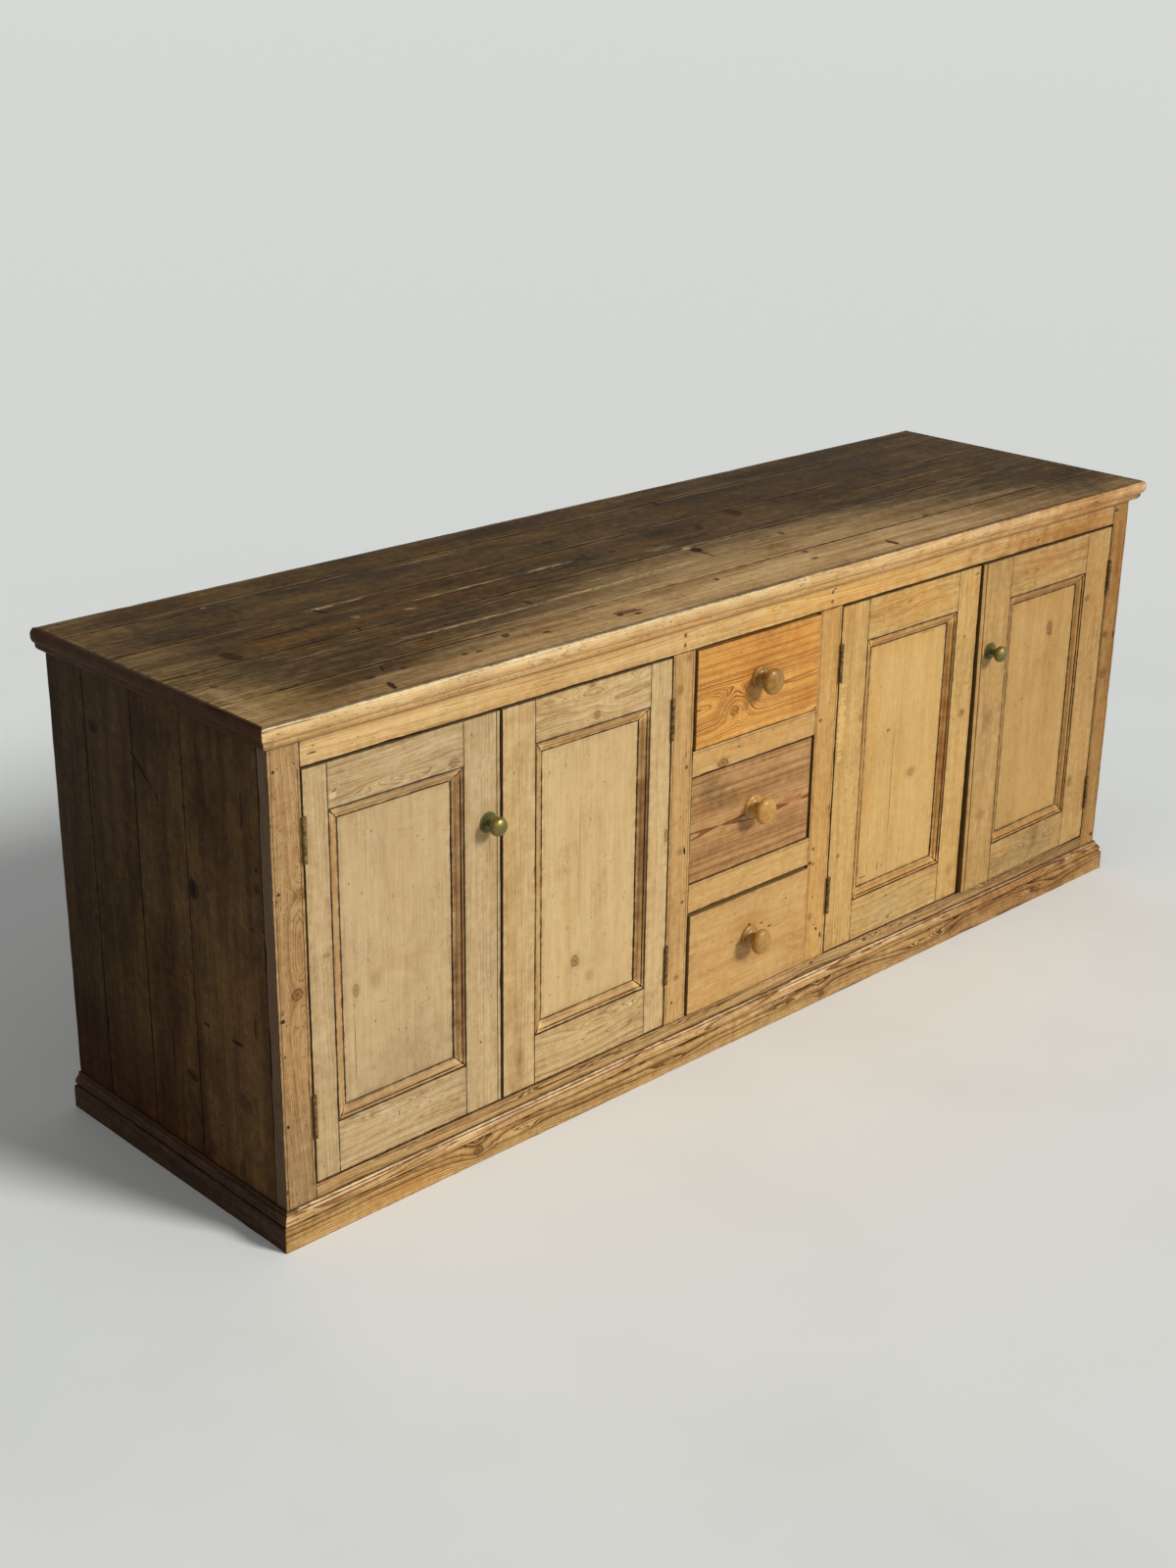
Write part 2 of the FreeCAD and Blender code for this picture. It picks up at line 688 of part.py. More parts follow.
def make_latch(name, x, edge_distance, bush_length):
    """A turned brass knob on a rose; it turns a tongue that swings behind the next door."""
    spindle_bore = latch_spindle_radius + latch_spindle_clearance
    bush_end = y_door_back + bush_length
    tongue_end = bush_end + latch_tongue_thickness
    lip = latch_rose_thickness * latch_rose_lip_share
    front = V(0, -1, 0)
    rose = turned([
        (spindle_bore, 0), (latch_rose_radius, 0), (latch_rose_radius, latch_rose_thickness - lip),
        (latch_rose_radius * latch_rose_lip_share, latch_rose_thickness - lip),
        (latch_rose_radius * latch_rose_lip_share, latch_rose_thickness),
        (spindle_bore, latch_rose_thickness),
    ], V(x, y_front, latch_height), front)
    bush = turned([
        (spindle_bore, 0), (latch_bush_radius, 0), (latch_bush_radius, bush_length),
        (spindle_bore, bush_length),
    ], V(x, bush_end, latch_height), front)
    keep(name + "_latch_rose", [rose, bush])

    neck_foot = latch_rose_thickness + latch_running_gap
    knob_half = latch_knob_depth / 2
    shoulder = latch_knob_radius * latch_knob_shoulder_share
    shoulder_rise = knob_half * latch_knob_shoulder_height_share
    bulge = latch_knob_radius * latch_knob_bulge_share
    bulge_rise = knob_half * latch_knob_bulge_height_share
    behind = tongue_end + latch_rivet_length - y_front
    knob = turned([
        (0, -behind), (latch_spindle_radius, -behind), (latch_spindle_radius, neck_foot),
        (latch_neck_radius, neck_foot), (latch_neck_radius, latch_knob_centre - knob_half),
        (shoulder, latch_knob_centre - shoulder_rise),
        (bulge, latch_knob_centre - bulge_rise, latch_knob_radius, latch_knob_centre),
        (bulge, latch_knob_centre + bulge_rise, shoulder, latch_knob_centre + shoulder_rise),
        crown(shoulder, latch_knob_centre + shoulder_rise, latch_knob_centre + knob_half),
    ], V(x, y_front, latch_height), front)
    half = latch_tongue_width / 2
    reach = edge_distance + meeting_gap + latch_tongue_lap
    tongue = block(x - half, x + half, bush_end, tongue_end,
                   latch_height - reach, latch_height + half)
    hole = rod(latch_spindle_radius, latch_tongue_thickness, V(x, bush_end, latch_height), V(0, 1, 0))
    keep(name + "_latch_knob", [knob, tongue.cut(hole)])
    return rod(latch_spindle_radius + latch_spindle_clearance, door_thickness,
               V(x, y_front, latch_height), V(0, 1, 0))


def make_bolt(name, x):
    """A small bolt on the back of a door; it slides up into a keep behind the top rail."""
    y_plate = y_door_back + bolt_plate_thickness
    y_bolt = y_plate + bolt_loop_depth / 2
    plate_top = z_door_top - bolt_plate_drop
    plate_foot = plate_top - bolt_plate_height
    half = bolt_plate_width / 2
    bore_radius = bolt_radius + bolt_clearance
    plate = block(x - half, x + half, y_door_back, y_plate, plate_foot, plate_top)
    half = bolt_loop_width / 2
    for z in (plate_foot + bolt_loop_margin, plate_top - bolt_loop_margin - bolt_loop_height):
        loop = block(x - half, x + half, y_plate, y_plate + bolt_loop_depth, z, z + bolt_loop_height)
        plate = plate.fuse(loop)
    bolt_foot = z_door_top - bolt_top_drop - bolt_length
    bore = rod(bore_radius, bolt_plate_height, V(x, y_bolt, plate_foot), V(0, 0, 1))
    keep(name + "_bolt_plate", [plate.cut(bore).removeSplitter()])
    bolt = rod(bolt_radius, bolt_length, V(x, y_bolt, bolt_foot), V(0, 0, 1))
    handle_z = plate_foot + bolt_loop_margin + bolt_loop_height + bolt_handle_gap + bolt_handle_radius
    handle = rod(bolt_handle_radius, bolt_handle_length + bolt_loop_depth / 2,
                 V(x, y_bolt, handle_z), V(0, 1, 0))
    keep(name + "_bolt", [bolt.fuse(handle).removeSplitter()])
    keep_foot = z_opening_top + bolt_keep_rise
    keep_top = z_door_top - bolt_top_drop + bolt_throw + bolt_keep_cover
    keeper = block(x - half, x + half, y_frame_back, y_bolt + bolt_loop_depth / 2 + bolt_keep_rise,
                   keep_foot, keep_top)
    hole = rod(bolt_radius + bolt_keep_clearance, keep_top - keep_foot, V(x, y_bolt, keep_foot),
               V(0, 0, 1))
    keep("bolt_keeps", [keeper.cut(hole)])


def cut_from_frame(name, cutters):
    """Let hinge leaves and screws into a frame upright."""
    piece = nodes[name][0]
    for cutter in cutters:
        piece = piece.cut(cutter)
    nodes[name] = [piece]


def make_door(name, x0, x1, members, hinge_side, upright, insets, bead=None, angle=0):
    """A framed and panelled door; hinge_side is 1 when the door lies to the right of its hinges.

    bead gives the edge bead, its quirk, the latch's distance from the edge and the length of the
    latch's bush; a door without it has a bolt.
    """
    z0 = z_door_foot
    z1 = z_door_top
    inner_x0 = x0 + members["left"]
    inner_x1 = x1 - members["right"]
    inner_z0 = z0 + members["bottom"]
    inner_z1 = z1 - members["top"]
    shoulder = frame_tenon_shoulder + door_groove_depth
    axis_x = x0 - hinge_gap / 2 if hinge_side > 0 else x1 + hinge_gap / 2
    centres = (z0 + insets[0] + hinge_length / 2, z1 - insets[1] - hinge_length / 2)
    hinge_solids, door_cutters, frame_cutters = make_hinges(axis_x, hinge_side, centres)
    cut_from_frame(upright, frame_cutters)

    y_panel = y_front + panel_face_depth
    groove = door_groove_depth
    panel = block(inner_x0 - groove, inner_x1 + groove, y_panel, y_panel + panel_thickness,
                  inner_z0 - groove, inner_z1 + groove)
    tenons = []
    rails = []
    for low, high in ((z0, inner_z0), (inner_z1, z1)):
        near = low + shoulder
        far = high - shoulder
        pair = [block(a, b, y_door_tenon, y_door_tenon + frame_tenon_thickness, near, far)
                for a, b in ((inner_x0 - door_tenon_length, inner_x0),
                             (inner_x1, inner_x1 + door_tenon_length))]
        rail = block(inner_x0, inner_x1, y_front, y_door_back, low, high)
        rail = rail.fuse(pair[0]).fuse(pair[1]).cut(panel)
        rails.append(rail.removeSplitter())
        tenons += pair
    stiles = [block(x0, inner_x0, y_front, y_door_back, z0, z1),
              block(inner_x1, x1, y_front, y_door_back, z0, z1)]
    if bead:
        bead_size, quirk_size, latch_distance, bush_length = bead
        edge = x1 if hinge_side > 0 else x0
        quirk = upright_quirk(edge, -hinge_side, z0, z1, bead_size, quirk_size)
        latch_hole = make_latch(name, edge - hinge_side * latch_distance, latch_distance,
                                bush_length)
        door_cutters = door_cutters + [quirk, latch_hole]
    else:
        meeting = (inner_x1 + x1) / 2 if hinge_side > 0 else (x0 + inner_x0) / 2
        make_bolt(name, meeting)
    for cutter in tenons + [panel] + door_cutters:
        stiles = [stile.cut(cutter) for stile in stiles]
    keep(name + "_stiles", stiles)
    keep(name + "_rails", rails)
    keep(name + "_panel", [panel])
    keep(name + "_moulding", panel_moulding(inner_x0, inner_x1, inner_z0, inner_z1))
    keep(name + "_hinge_leaves", hinge_solids)
    y_axis = y_front - hinge_barrel_radius - hinge_barrel_standoff
    for node in list(nodes):
        if angle and node.startswith(name + "_"):
            for solid in nodes[node]:
                solid.rotate(V(axis_x, y_axis, 0), V(0, 0, 1), -hinge_side * angle)


def make_doors():
    """Two pairs of doors, each hung on its outer edge."""
    x1 = x_cup_1 + hinge_gap
    x2 = x1 + door_1_width
    x3 = x2 + meeting_gap
    x4 = x_muntin_1 - hinge_gap
    make_door("door_1", x1, x2, door_1_members, 1, "corner_stile_left", hinge_insets[0],
              (door_1_bead_width, door_1_quirk_width, latch_1_edge_distance, latch_1_bush_length))
    make_door("door_2", x3, x4, door_2_members, -1, "muntin_left", hinge_insets[1])
    x1 = x_cup_3 + hinge_gap
    x2 = x1 + door_3_width
    x3 = x2 + meeting_gap
    x4 = x_stile_4 - hinge_gap
    make_door("door_3", x1, x2, door_3_members, 1, "muntin_right", hinge_insets[2])
    make_door("door_4", x3, x4, door_4_members, -1, "corner_stile_right", hinge_insets[3],
              (door_4_bead_width, door_4_quirk_width, latch_4_edge_distance, latch_4_bush_length),
              door_4_rest_angle)


def make_knob(foot):
    """A turned mushroom knob with its dowel."""
    cap_back = knob_projection - knob_cap_thickness
    neck_middle = knob_base_thickness + (cap_back - knob_base_thickness) * knob_neck_middle_share
    shoulder = knob_cap_radius * knob_cap_shoulder_share
    shoulder_height = cap_back + knob_cap_thickness * knob_cap_shoulder_height_share
    return turned([
        (0, -drawer_front_thickness), (knob_dowel_radius, -drawer_front_thickness),
        (knob_dowel_radius, 0), (knob_base_radius, 0),
        (knob_base_radius, knob_base_thickness * knob_base_edge_share),
        (knob_base_radius * knob_base_top_share, knob_base_thickness),
        (knob_neck_radius, neck_middle, knob_cap_radius * knob_cap_back_share, cap_back),
        (knob_cap_radius * knob_cap_bulge_share,
         cap_back + knob_cap_thickness * knob_cap_bulge_height_share,
         knob_cap_radius, cap_back + knob_cap_thickness * knob_cap_edge_share),
        (knob_cap_radius * knob_cap_round_share,
         cap_back + knob_cap_thickness * knob_cap_round_height_share,
         shoulder, shoulder_height),
        crown(shoulder, shoulder_height, knob_projection),
    ], foot, V(0, -1, 0))


def make_drawer(name, number, z0, z1, floor):
    """A lapped front with two sides, a back and a bottom held in grooves, and its guides."""
    x0 = x_bay_0 + drawer_left_gaps[number]
    x1 = x_bay_1 - drawer_right_gaps[number]
    front_y = y_front - drawer_stands[number]
    y0 = front_y + drawer_front_thickness
    y1 = front_y + drawer_depth
    front_z0 = z0 + drawer_bottom_gap
    front_z1 = z1 - drawer_top_gaps[number]
    low = floor + drawer_running_gap
    high = front_z1 - drawer_side_drop
    thick = drawer_side_thickness
    panel_z = low + drawer_panel_rise
    groove = drawer_panel_groove
    panel = block(x0 + thick - groove, x1 - thick + groove, y0 - groove, y1 - thick + groove,
                  panel_z, panel_z + drawer_panel_thickness)
    knob_x = (x_bay_0 + x_bay_1) / 2 + knob_shift
    knob_z = (front_z0 + front_z1) / 2 + knob_rises[number]
    knob = make_knob(V(knob_x, front_y, knob_z))
    front = block(x0, x1, front_y, y0, front_z0, front_z1).cut(panel).cut(knob)
    pieces = [
        block(x0, x0 + thick, y0, y1, low, high),
        block(x1 - thick, x1, y0, y1, low, high),
        block(x0 + thick, x1 - thick, y1 - thick, y1, low, high),
    ]
    keep(name + "_front", [front])
    keep(name + "_box", [piece.cut(panel) for piece in pieces] + [panel])
    keep(name + "_knob", [knob])
    stop_z = (low + high) / 2
    half = drawer_stop_width / 2
    keep("drawer_runners", [
        block(knob_x - half, knob_x + half, y1 + drawer_stop_gap, y_back_boards,
              stop_z - drawer_stop_height / 2, stop_z + drawer_stop_height / 2),
        block(x_partition_1 + partition_thickness, x0 - drawer_running_gap, y_frame_back,
              y_back_boards, floor, floor + guide_height),
        block(x1 + drawer_running_gap, x_partition_2, y_frame_back, y_back_boards,
              floor, floor + guide_height),
    ])


def make_drawers():
    """Three drawers, and the bearers that carry them and keep them from tipping."""
    make_drawer("drawer_1", 0, z_upper_floor, z_opening_top, z_upper_floor)
    make_drawer("drawer_2", 1, z_middle_floor, z_middle_top, z_middle_floor)
    make_drawer("drawer_3", 2, bottom_rail_top, z_lower_top, z_floor)
    bearers = [(z_lower_top, z_middle_floor), (z_middle_top, z_upper_floor),
               (z_opening_top, z_top_underside)]
    for z0, z1 in bearers:
        keep("drawer_runners", [
            block(x_partition_1 + partition_thickness, x_bay_0 + runner_ledge, y_frame_back,
                  y_back_boards, z0, z1),
            block(x_bay_1 - runner_ledge, x_partition_2, y_frame_back, y_back_boards, z0, z1),
        ])


make_top()
make_base()
make_face_frame()
make_carcass()
make_shelves()
make_doors()
make_drawers()

os.makedirs("parts", exist_ok=True)
for name, solids in nodes.items():
    shape = Part.makeCompound(solids) if len(solids) > 1 else solids[0]
    shape.exportStep("parts/" + name + ".step")
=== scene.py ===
"""Long pine sideboard: its finishes and worn pieces, with the floor, light and camera.

Metres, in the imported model's frame: X along the length, Y from front to back, Z up.
Places on the wood are in millimetres, as they are measured on the object.
"""
import json
import math
import random
from functools import partialmethod

import bmesh
import bpy
from bpy.props import FloatProperty, FloatVectorProperty, PointerProperty
from mathutils import Matrix, Vector, noise


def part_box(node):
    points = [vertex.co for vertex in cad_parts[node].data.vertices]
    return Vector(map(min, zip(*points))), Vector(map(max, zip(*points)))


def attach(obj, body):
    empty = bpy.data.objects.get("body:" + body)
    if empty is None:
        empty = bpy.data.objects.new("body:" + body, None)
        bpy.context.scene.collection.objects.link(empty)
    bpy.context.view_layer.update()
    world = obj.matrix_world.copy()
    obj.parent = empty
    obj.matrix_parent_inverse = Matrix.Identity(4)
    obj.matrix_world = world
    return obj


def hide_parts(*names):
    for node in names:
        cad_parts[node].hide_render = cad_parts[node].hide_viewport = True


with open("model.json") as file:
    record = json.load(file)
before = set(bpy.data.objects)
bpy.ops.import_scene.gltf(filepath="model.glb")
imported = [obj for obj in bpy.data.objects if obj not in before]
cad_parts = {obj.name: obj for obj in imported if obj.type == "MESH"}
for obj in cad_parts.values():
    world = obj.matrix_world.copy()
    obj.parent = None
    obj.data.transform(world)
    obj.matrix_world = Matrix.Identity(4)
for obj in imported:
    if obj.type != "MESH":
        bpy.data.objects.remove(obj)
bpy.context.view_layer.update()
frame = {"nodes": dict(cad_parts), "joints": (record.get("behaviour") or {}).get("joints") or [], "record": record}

bl_info = {
    "name": "Pine sideboard",
    "version": (1, 0, 0),
    "blender": (4, 5, 0),
    "location": "3D View > Sidebar > Sideboard",
    "description": "Dresses the packed pine sideboard in worn, waxed pine",
    "category": "Object",
}

MM = 0.001
# Points nearer than this are one point, and edges turned further than this are sharp
WELD = 2e-6
SHARP = 0.7
# A face looks along an axis where this share of its normal does
SQUARE = 0.999
# Faces nearer than this to a level are part of it, and so are edges nearer than this to a side
SAME_LEVEL = 1e-4
SAME_SIDE = 5e-5
# How near a point has to be to a board's edge to be rubbed away with it
NEAR_EDGE = 2.4 * MM
NEAR_MOULDED_EDGE = 5 * MM
# Waves per metre, along the grain and across it, in how far an edge is rubbed
SLOW_SWING = (9, 3)
FAST_SWING = (42, 30)

X_LEFT, Y_FRONT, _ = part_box("corner_stile_left")[0]
Z_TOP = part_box("top_boards")[1].z
# The last door stands a little open about its hinge, which could still turn by this angle to close it
last_joint = next(joint for joint in frame["joints"] if joint["name"] == "door_4_hinge")
LAST_HINGE = Vector((*last_joint["pos_m"][:2], 0))
LAST_ANGLE = math.radians(-last_joint["range_deg"][0])
body_of = {node: body for body, nodes in frame["record"]["behaviour"]["bodies"].items()
           for node in nodes}


def colour_setting(name, description, default):
    """A colour as it looks on screen, 0 to 255, that a user can change."""
    return FloatVectorProperty(name=name, description=description, subtype="COLOR_GAMMA",
                               size=3, min=0, max=1, default=[c / 255 for c in default])


def length_setting(name, description, default):
    """A length, given in millimetres, that a user can change."""
    return FloatProperty(name=name, description=description, default=default * MM, min=0, precision=4,
                         unit="LENGTH")


class SideboardSizes(bpy.types.PropertyGroup):
    """Sizes of the worn edges and of the last door's twist"""

    arris: length_setting("Arris", "Width of the worn edges of boards", 1.1)
    wear: length_setting("Wear", "How far the edges are rubbed away", 0.9)
    pitch: length_setting("Pitch", "Spacing of the points along an edge", 26)
    wind_foot: length_setting("Wind at the foot", "How far the last door stands out at its foot", 5)
    wind_head: length_setting("Wind at the head", "How far the last door stands in at its head", 3.2)


class SideboardColours(bpy.types.PropertyGroup):
    """Colours of each piece's wood or metal, and of the floor"""

    door: colour_setting("Doors", "Pale scrubbed pine", (204, 175, 128))
    frame: colour_setting("Frame", "Waxed honey pine", (184, 146, 94))
    rail: colour_setting("Rails", "Yellow pine between the drawers and over the doors", (200, 160, 102))
    nosing: colour_setting("Nosing", "Rubbed edge of the top", (216, 182, 130))
    base: colour_setting("Base", "Orange brown pine at the floor", (184, 143, 88))
    top: colour_setting("Top", "Dark waxed top", (80, 59, 20))
    top_worn: colour_setting("Worn top", "Where the top is rubbed pale", (200, 168, 120))
    # Darker than the end boards' own wood: partly painted shade of the end that faces away from the light
    side: colour_setting("Sides", "Darkened ends", (90, 67, 36))
    drawer_1: colour_setting("Top drawer", "Strong orange pine", (214, 158, 76))
    drawer_2: colour_setting("Middle drawer", "Brown pine", (183, 140, 86))
    drawer_3: colour_setting("Bottom drawer", "Honey pine", (194, 153, 94))
    inside: colour_setting("Inside", "Bare pine", (170, 140, 100))
    back: colour_setting("Back", "Rough old boards", (124, 100, 72))
    knob: colour_setting("Knobs", "Turned wood", (184, 138, 80))
    wax: colour_setting("Wax", "Old dark wax in joints and marks", (48, 29, 12))
    brass: colour_setting("Brass", "Aged brass", (134, 120, 64))
    verdigris: colour_setting("Verdigris", "Green of old brass", (78, 82, 48))
    iron: colour_setting("Iron", "Bronzed hinges where they are rubbed", (158, 128, 80))
    rust: colour_setting("Rust", "Dark film on the hinges", (66, 46, 27))
    floor: colour_setting("Floor", "Plain pale floor", (240, 243, 241))


def sizes():
    """The sizes that a user can change."""
    return bpy.context.scene.sideboard_sizes


def linear(colour):
    """Screen colour, 0 to 1, as the shader's own values."""
    curve = [((c + 0.055) / 1.055) ** 2.4 if c > 0.04 else c / 12.92 for c in colour]
    return (*curve, 1.0)


def paint(name, factors=(1, 1, 1)):
    """A set colour times a factor for each channel, as the shader's own values."""
    chosen = getattr(bpy.context.scene.sideboard_colours, name)
    return linear([min(1, c * f) for c, f in zip(chosen, factors)])


# Node trees

FLOAT, VECTOR, COLOUR = "NodeSocketFloat", "NodeSocketVector", "NodeSocketColor"


class Net:
    """Short ways to add nodes to one shader tree."""

    def __init__(self, tree):
        self.tree = tree

    def add(self, kind, feeds=None, **settings):
        node = self.tree.nodes.new(kind)
        for key, value in settings.items():
            setattr(node, key, value)
        for socket, value in (feeds or {}).items():
            self.feed(node.inputs[socket], value)
        return node

    def feed(self, socket, value):
        if isinstance(value, bpy.types.NodeSocket):
            self.tree.links.new(value, socket)
        else:
            socket.default_value = value

    def math(self, operation, *values, clamp=False):
        return self.add("ShaderNodeMath", dict(enumerate(values)),
                        operation=operation, use_clamp=clamp).outputs[0]

    plus = partialmethod(math, "ADD")
    minus = partialmethod(math, "SUBTRACT")
    times = partialmethod(math, "MULTIPLY")
    over = partialmethod(math, "DIVIDE")
    times_plus = partialmethod(math, "MULTIPLY_ADD")
    least = partialmethod(math, "MINIMUM")
    most = partialmethod(math, "MAXIMUM")

    def apart(self, first, second):
        """How far apart two values are."""
        return self.math("ABSOLUTE", self.minus(first, second))

    def vector(self, operation, *values, out=0):
        return self.add("ShaderNodeVectorMath", dict(enumerate(values)),
                        operation=operation).outputs[out]

    def step(self, value, low, high, to_low=0.0, to_high=1.0):
        """A smooth step between two levels."""
        return self.add("ShaderNodeMapRange", {0: value, 1: low, 2: high, 3: to_low, 4: to_high},
                        interpolation_type="SMOOTHSTEP").outputs[0]

    def mix(self, share, first, second, blend="MIX"):
        return self.add("ShaderNodeMix", {0: share, 6: first, 7: second},
                        data_type="RGBA", blend_type=blend).outputs[2]

    def noise(self, place, scale=1.0, detail=2.0, rough=0.5, out="Fac"):
        return self.add("ShaderNodeTexNoise", {"Vector": place, "Scale": scale,
                                               "Detail": detail, "Roughness": rough}).outputs[out]

    def split(self, vector):
        return self.add("ShaderNodeSeparateXYZ", {0: vector}).outputs

    def stretched(self, parts, scales, seed):
        """Three coordinates, each with its own scale, moved by a seed."""
        scaled = [self.times(p, s) for p, s in zip(parts, scales)]
        joined = self.add("ShaderNodeCombineXYZ", dict(enumerate(scaled))).outputs[0]
        return self.vector("ADD", joined, seed)

    def about(self, value, middle, amount):
        """A noise value moved to swing about a middle."""
        return self.times_plus(value, amount, middle - amount / 2)

    def attribute(self, name, out="Fac"):
        return self.add("ShaderNodeAttribute", attribute_name=name).outputs[out]


def shader_group(name, inputs, outputs):
    """A new group with named sockets, its net, and the ends of its sockets."""
    tree = bpy.data.node_groups.new(name, "ShaderNodeTree")
    for way, sockets in (("INPUT", inputs), ("OUTPUT", outputs)):
        for kind, titles in sockets.items():
            for title in titles:
                tree.interface.new_socket(title, in_out=way, socket_type=kind)
    net = Net(tree)
    return tree, net, net.add("NodeGroupInput").outputs, net.add("NodeGroupOutput").inputs


def knot_group():
    """One knot in a chain: its distance, how it pushes the rings, and its heart."""
    tree, net, given, out = shader_group("knot", {
        VECTOR: ("Place", "Centre", "Radii"),
        FLOAT: ("Rough", "Spread", "Push", "Strength", "Distance", "Bend", "Heart"),
    }, {FLOAT: ("Distance", "Bend", "Heart")})
    offset = net.vector("SUBTRACT", given["Place"], given["Centre"])
    far = net.vector("LENGTH", net.vector("DIVIDE", offset, given["Radii"]), out=1)
    far = net.times(far, given["Rough"])
    reach = net.over(far, given["Spread"])
    fall = net.math("EXPONENT", net.times(net.times(reach, reach), -1.0))
    heart = net.times(net.step(far, 1.15, 0.85), given["Strength"])
    net.feed(out["Distance"], net.least(far, given["Distance"]))
    net.feed(out["Bend"], net.times_plus(fall, given["Push"], given["Bend"]))
    net.feed(out["Heart"], net.most(heart, given["Heart"]))
    return tree


def mark_group():
    """One mark in a chain: a turned oval with a broken edge."""
    tree, net, given, out = shader_group("mark", {
        VECTOR: ("Place", "Centre", "Reach", "Axis"),
        FLOAT: ("Angle", "Rough", "Ragged", "Inner", "Strength", "Before"),
    }, {FLOAT: ("Mark",)})
    turned = net.add("ShaderNodeVectorRotate", {"Vector": given["Place"], "Center": given["Centre"],
                                                "Axis": given["Axis"], "Angle": given["Angle"]})
    offset = net.vector("SUBTRACT", turned.outputs[0], given["Centre"])
    far = net.vector("LENGTH", net.vector("DIVIDE", offset, given["Reach"]), out=1)
    ragged = net.times(net.minus(given["Rough"], 0.5), given["Ragged"])
    far = net.plus(far, ragged)
    mark = net.times(net.step(far, 1.15, given["Inner"]), given["Strength"])
    net.feed(out["Mark"], net.most(mark, given["Before"]))
    return tree


def pine_group():
    """Old pine: rings, fibre, stain, knots, dark wax in the joints, painted shade on the sides of boards, and
    rubbed edges.
    """
    tree, net, given, out = shader_group("old pine", {
        VECTOR: ("Board", "Room", "Seed", "Place"),
        COLOUR: ("Pale", "Late", "Stain", "Rubbed", "Wax", "Hidden"),
        FLOAT: ("Spacing", "Pith Across", "Pith Depth", "Wander", "Wander Length", "Ripple", "Contrast",
                "Mottle", "Cloud", "Flecks", "Joint", "Joint Width", "Flat", "Wear", "Grime", "End Gap",
                "Edge", "Bend", "Near", "Heart", "Dark Mark", "Light Mark", "Sides", "Gloss",
                "Fibre", "Uneven", "Specks", "Scuff", "Fill"),
    }, {COLOUR: ("Colour",), FLOAT: ("Roughness", "Height")})
    parts = net.split(given["Board"])
    across, through = parts[1], parts[2]
    seed = given["Seed"]

    # Rings round the pith, which wander along the board and bend round knots
    slow_scale = net.over(1.0, given["Wander Length"])
    drift = net.split(net.noise(net.stretched(parts, (slow_scale, 2.0, 2.0), seed), 1, 1, 0.4, "Color"))
    wide = net.times(given["Wander"], 2.0)
    side = net.minus(across, given["Pith Across"])
    side = net.times_plus(net.minus(drift[0], 0.5), wide, side)
    deep = net.plus(through, given["Pith Depth"])
    deep = net.times_plus(net.minus(drift[1], 0.5), wide, deep)
    radius = net.math("SQRT", net.times_plus(side, side, net.times(deep, deep)))
    ripple = net.noise(net.stretched(parts, (13.0, 40.0, 40.0), seed), 1, 2, 0.5)
    swing = net.times(given["Spacing"], given["Ripple"])
    radius = net.times_plus(net.minus(ripple, 0.5), swing, radius)
    radius = net.plus(radius, given["Bend"])
    uneven = net.noise(seed, 1.7, 0)
    thick = net.add("ShaderNodeTexNoise", {"W": net.times_plus(radius, 40.0, uneven),
                                           "Detail": 1.0}, noise_dimensions="1D").outputs["Fac"]
    phase = net.over(radius, given["Spacing"])
    phase = net.times_plus(thick, 2.4, phase)
    ring = net.math("FRACT", phase)
    number = net.add("ShaderNodeTexWhiteNoise", {"W": net.math("FLOOR", phase)},
                     noise_dimensions="1D").outputs["Value"]
    late = net.times(net.step(ring, 0.46, 0.90), net.step(ring, 1.0, 0.95))
    late = net.times(late, net.about(number, 0.74, 0.52))

    # Streaks, clouds, rings, fibre and flecks
    streak = net.noise(net.stretched(parts, (1.6, 24.0, 24.0), seed), 1, 5, 0.62)
    cloud_place = net.vector("ADD", net.vector("MULTIPLY", given["Place"], (6.0, 6.0, 6.0)), seed)
    cloud = net.noise(cloud_place, 1, 4, 0.6)
    colour = net.mix(net.times(net.step(streak, 0.40, 0.68), given["Mottle"]),
                     given["Pale"], given["Stain"])
    shade = net.times(net.step(cloud, 0.42, 0.72), given["Cloud"])
    colour = net.mix(shade, colour, net.mix(0.5, given["Stain"], given["Wax"]))
    weight = net.times(net.times(late, given["Contrast"]), net.about(cloud, 0.9, 1.2))
    colour = net.mix(net.least(weight, 1.0), colour, given["Late"])
    fibre = net.noise(net.stretched(parts, (15.0, 560.0, 560.0), seed), 1, 3, 0.65)
    colour = net.mix(net.times(net.step(fibre, 0.45, 0.70), given["Fibre"]), colour, given["Late"])
    fleck = net.noise(net.stretched(parts, (150.0, 420.0, 420.0), seed), 1, 1, 0.5)
    fleck = net.times(net.step(fleck, 0.64, 0.74), given["Flecks"])
    colour = net.mix(fleck, colour, net.mix(0.6, given["Late"], given["Wax"]))

    # Uneven tone, specks and hairs
    gritty = net.noise(given["Place"], 62.0, 4, 0.65)
    middling = net.noise(net.stretched(parts, (7.0, 90.0, 90.0), seed), 1, 4, 0.7)
    tone = net.times_plus(middling, 1.7, net.times_plus(gritty, 2.0, -1.85))
    tone = net.times_plus(tone, given["Uneven"], 1.0)
    colour = net.add("ShaderNodeGamma", {"Color": colour, "Gamma": tone}).outputs[0]
    speck = net.noise(net.stretched(parts, (85.0, 170.0, 170.0), seed), 1, 2, 0.6)
    speck = net.step(speck, 0.68, 0.74)
    hair = net.step(net.apart(middling, 0.5), 0.012, 0.004)
    hair = net.times(hair, net.step(cloud, 0.52, 0.62, 0.0, 0.7))
    speck = net.times(net.most(speck, hair), given["Specks"])
    colour = net.mix(speck, colour, net.mix(0.7, given["Late"], given["Wax"]))

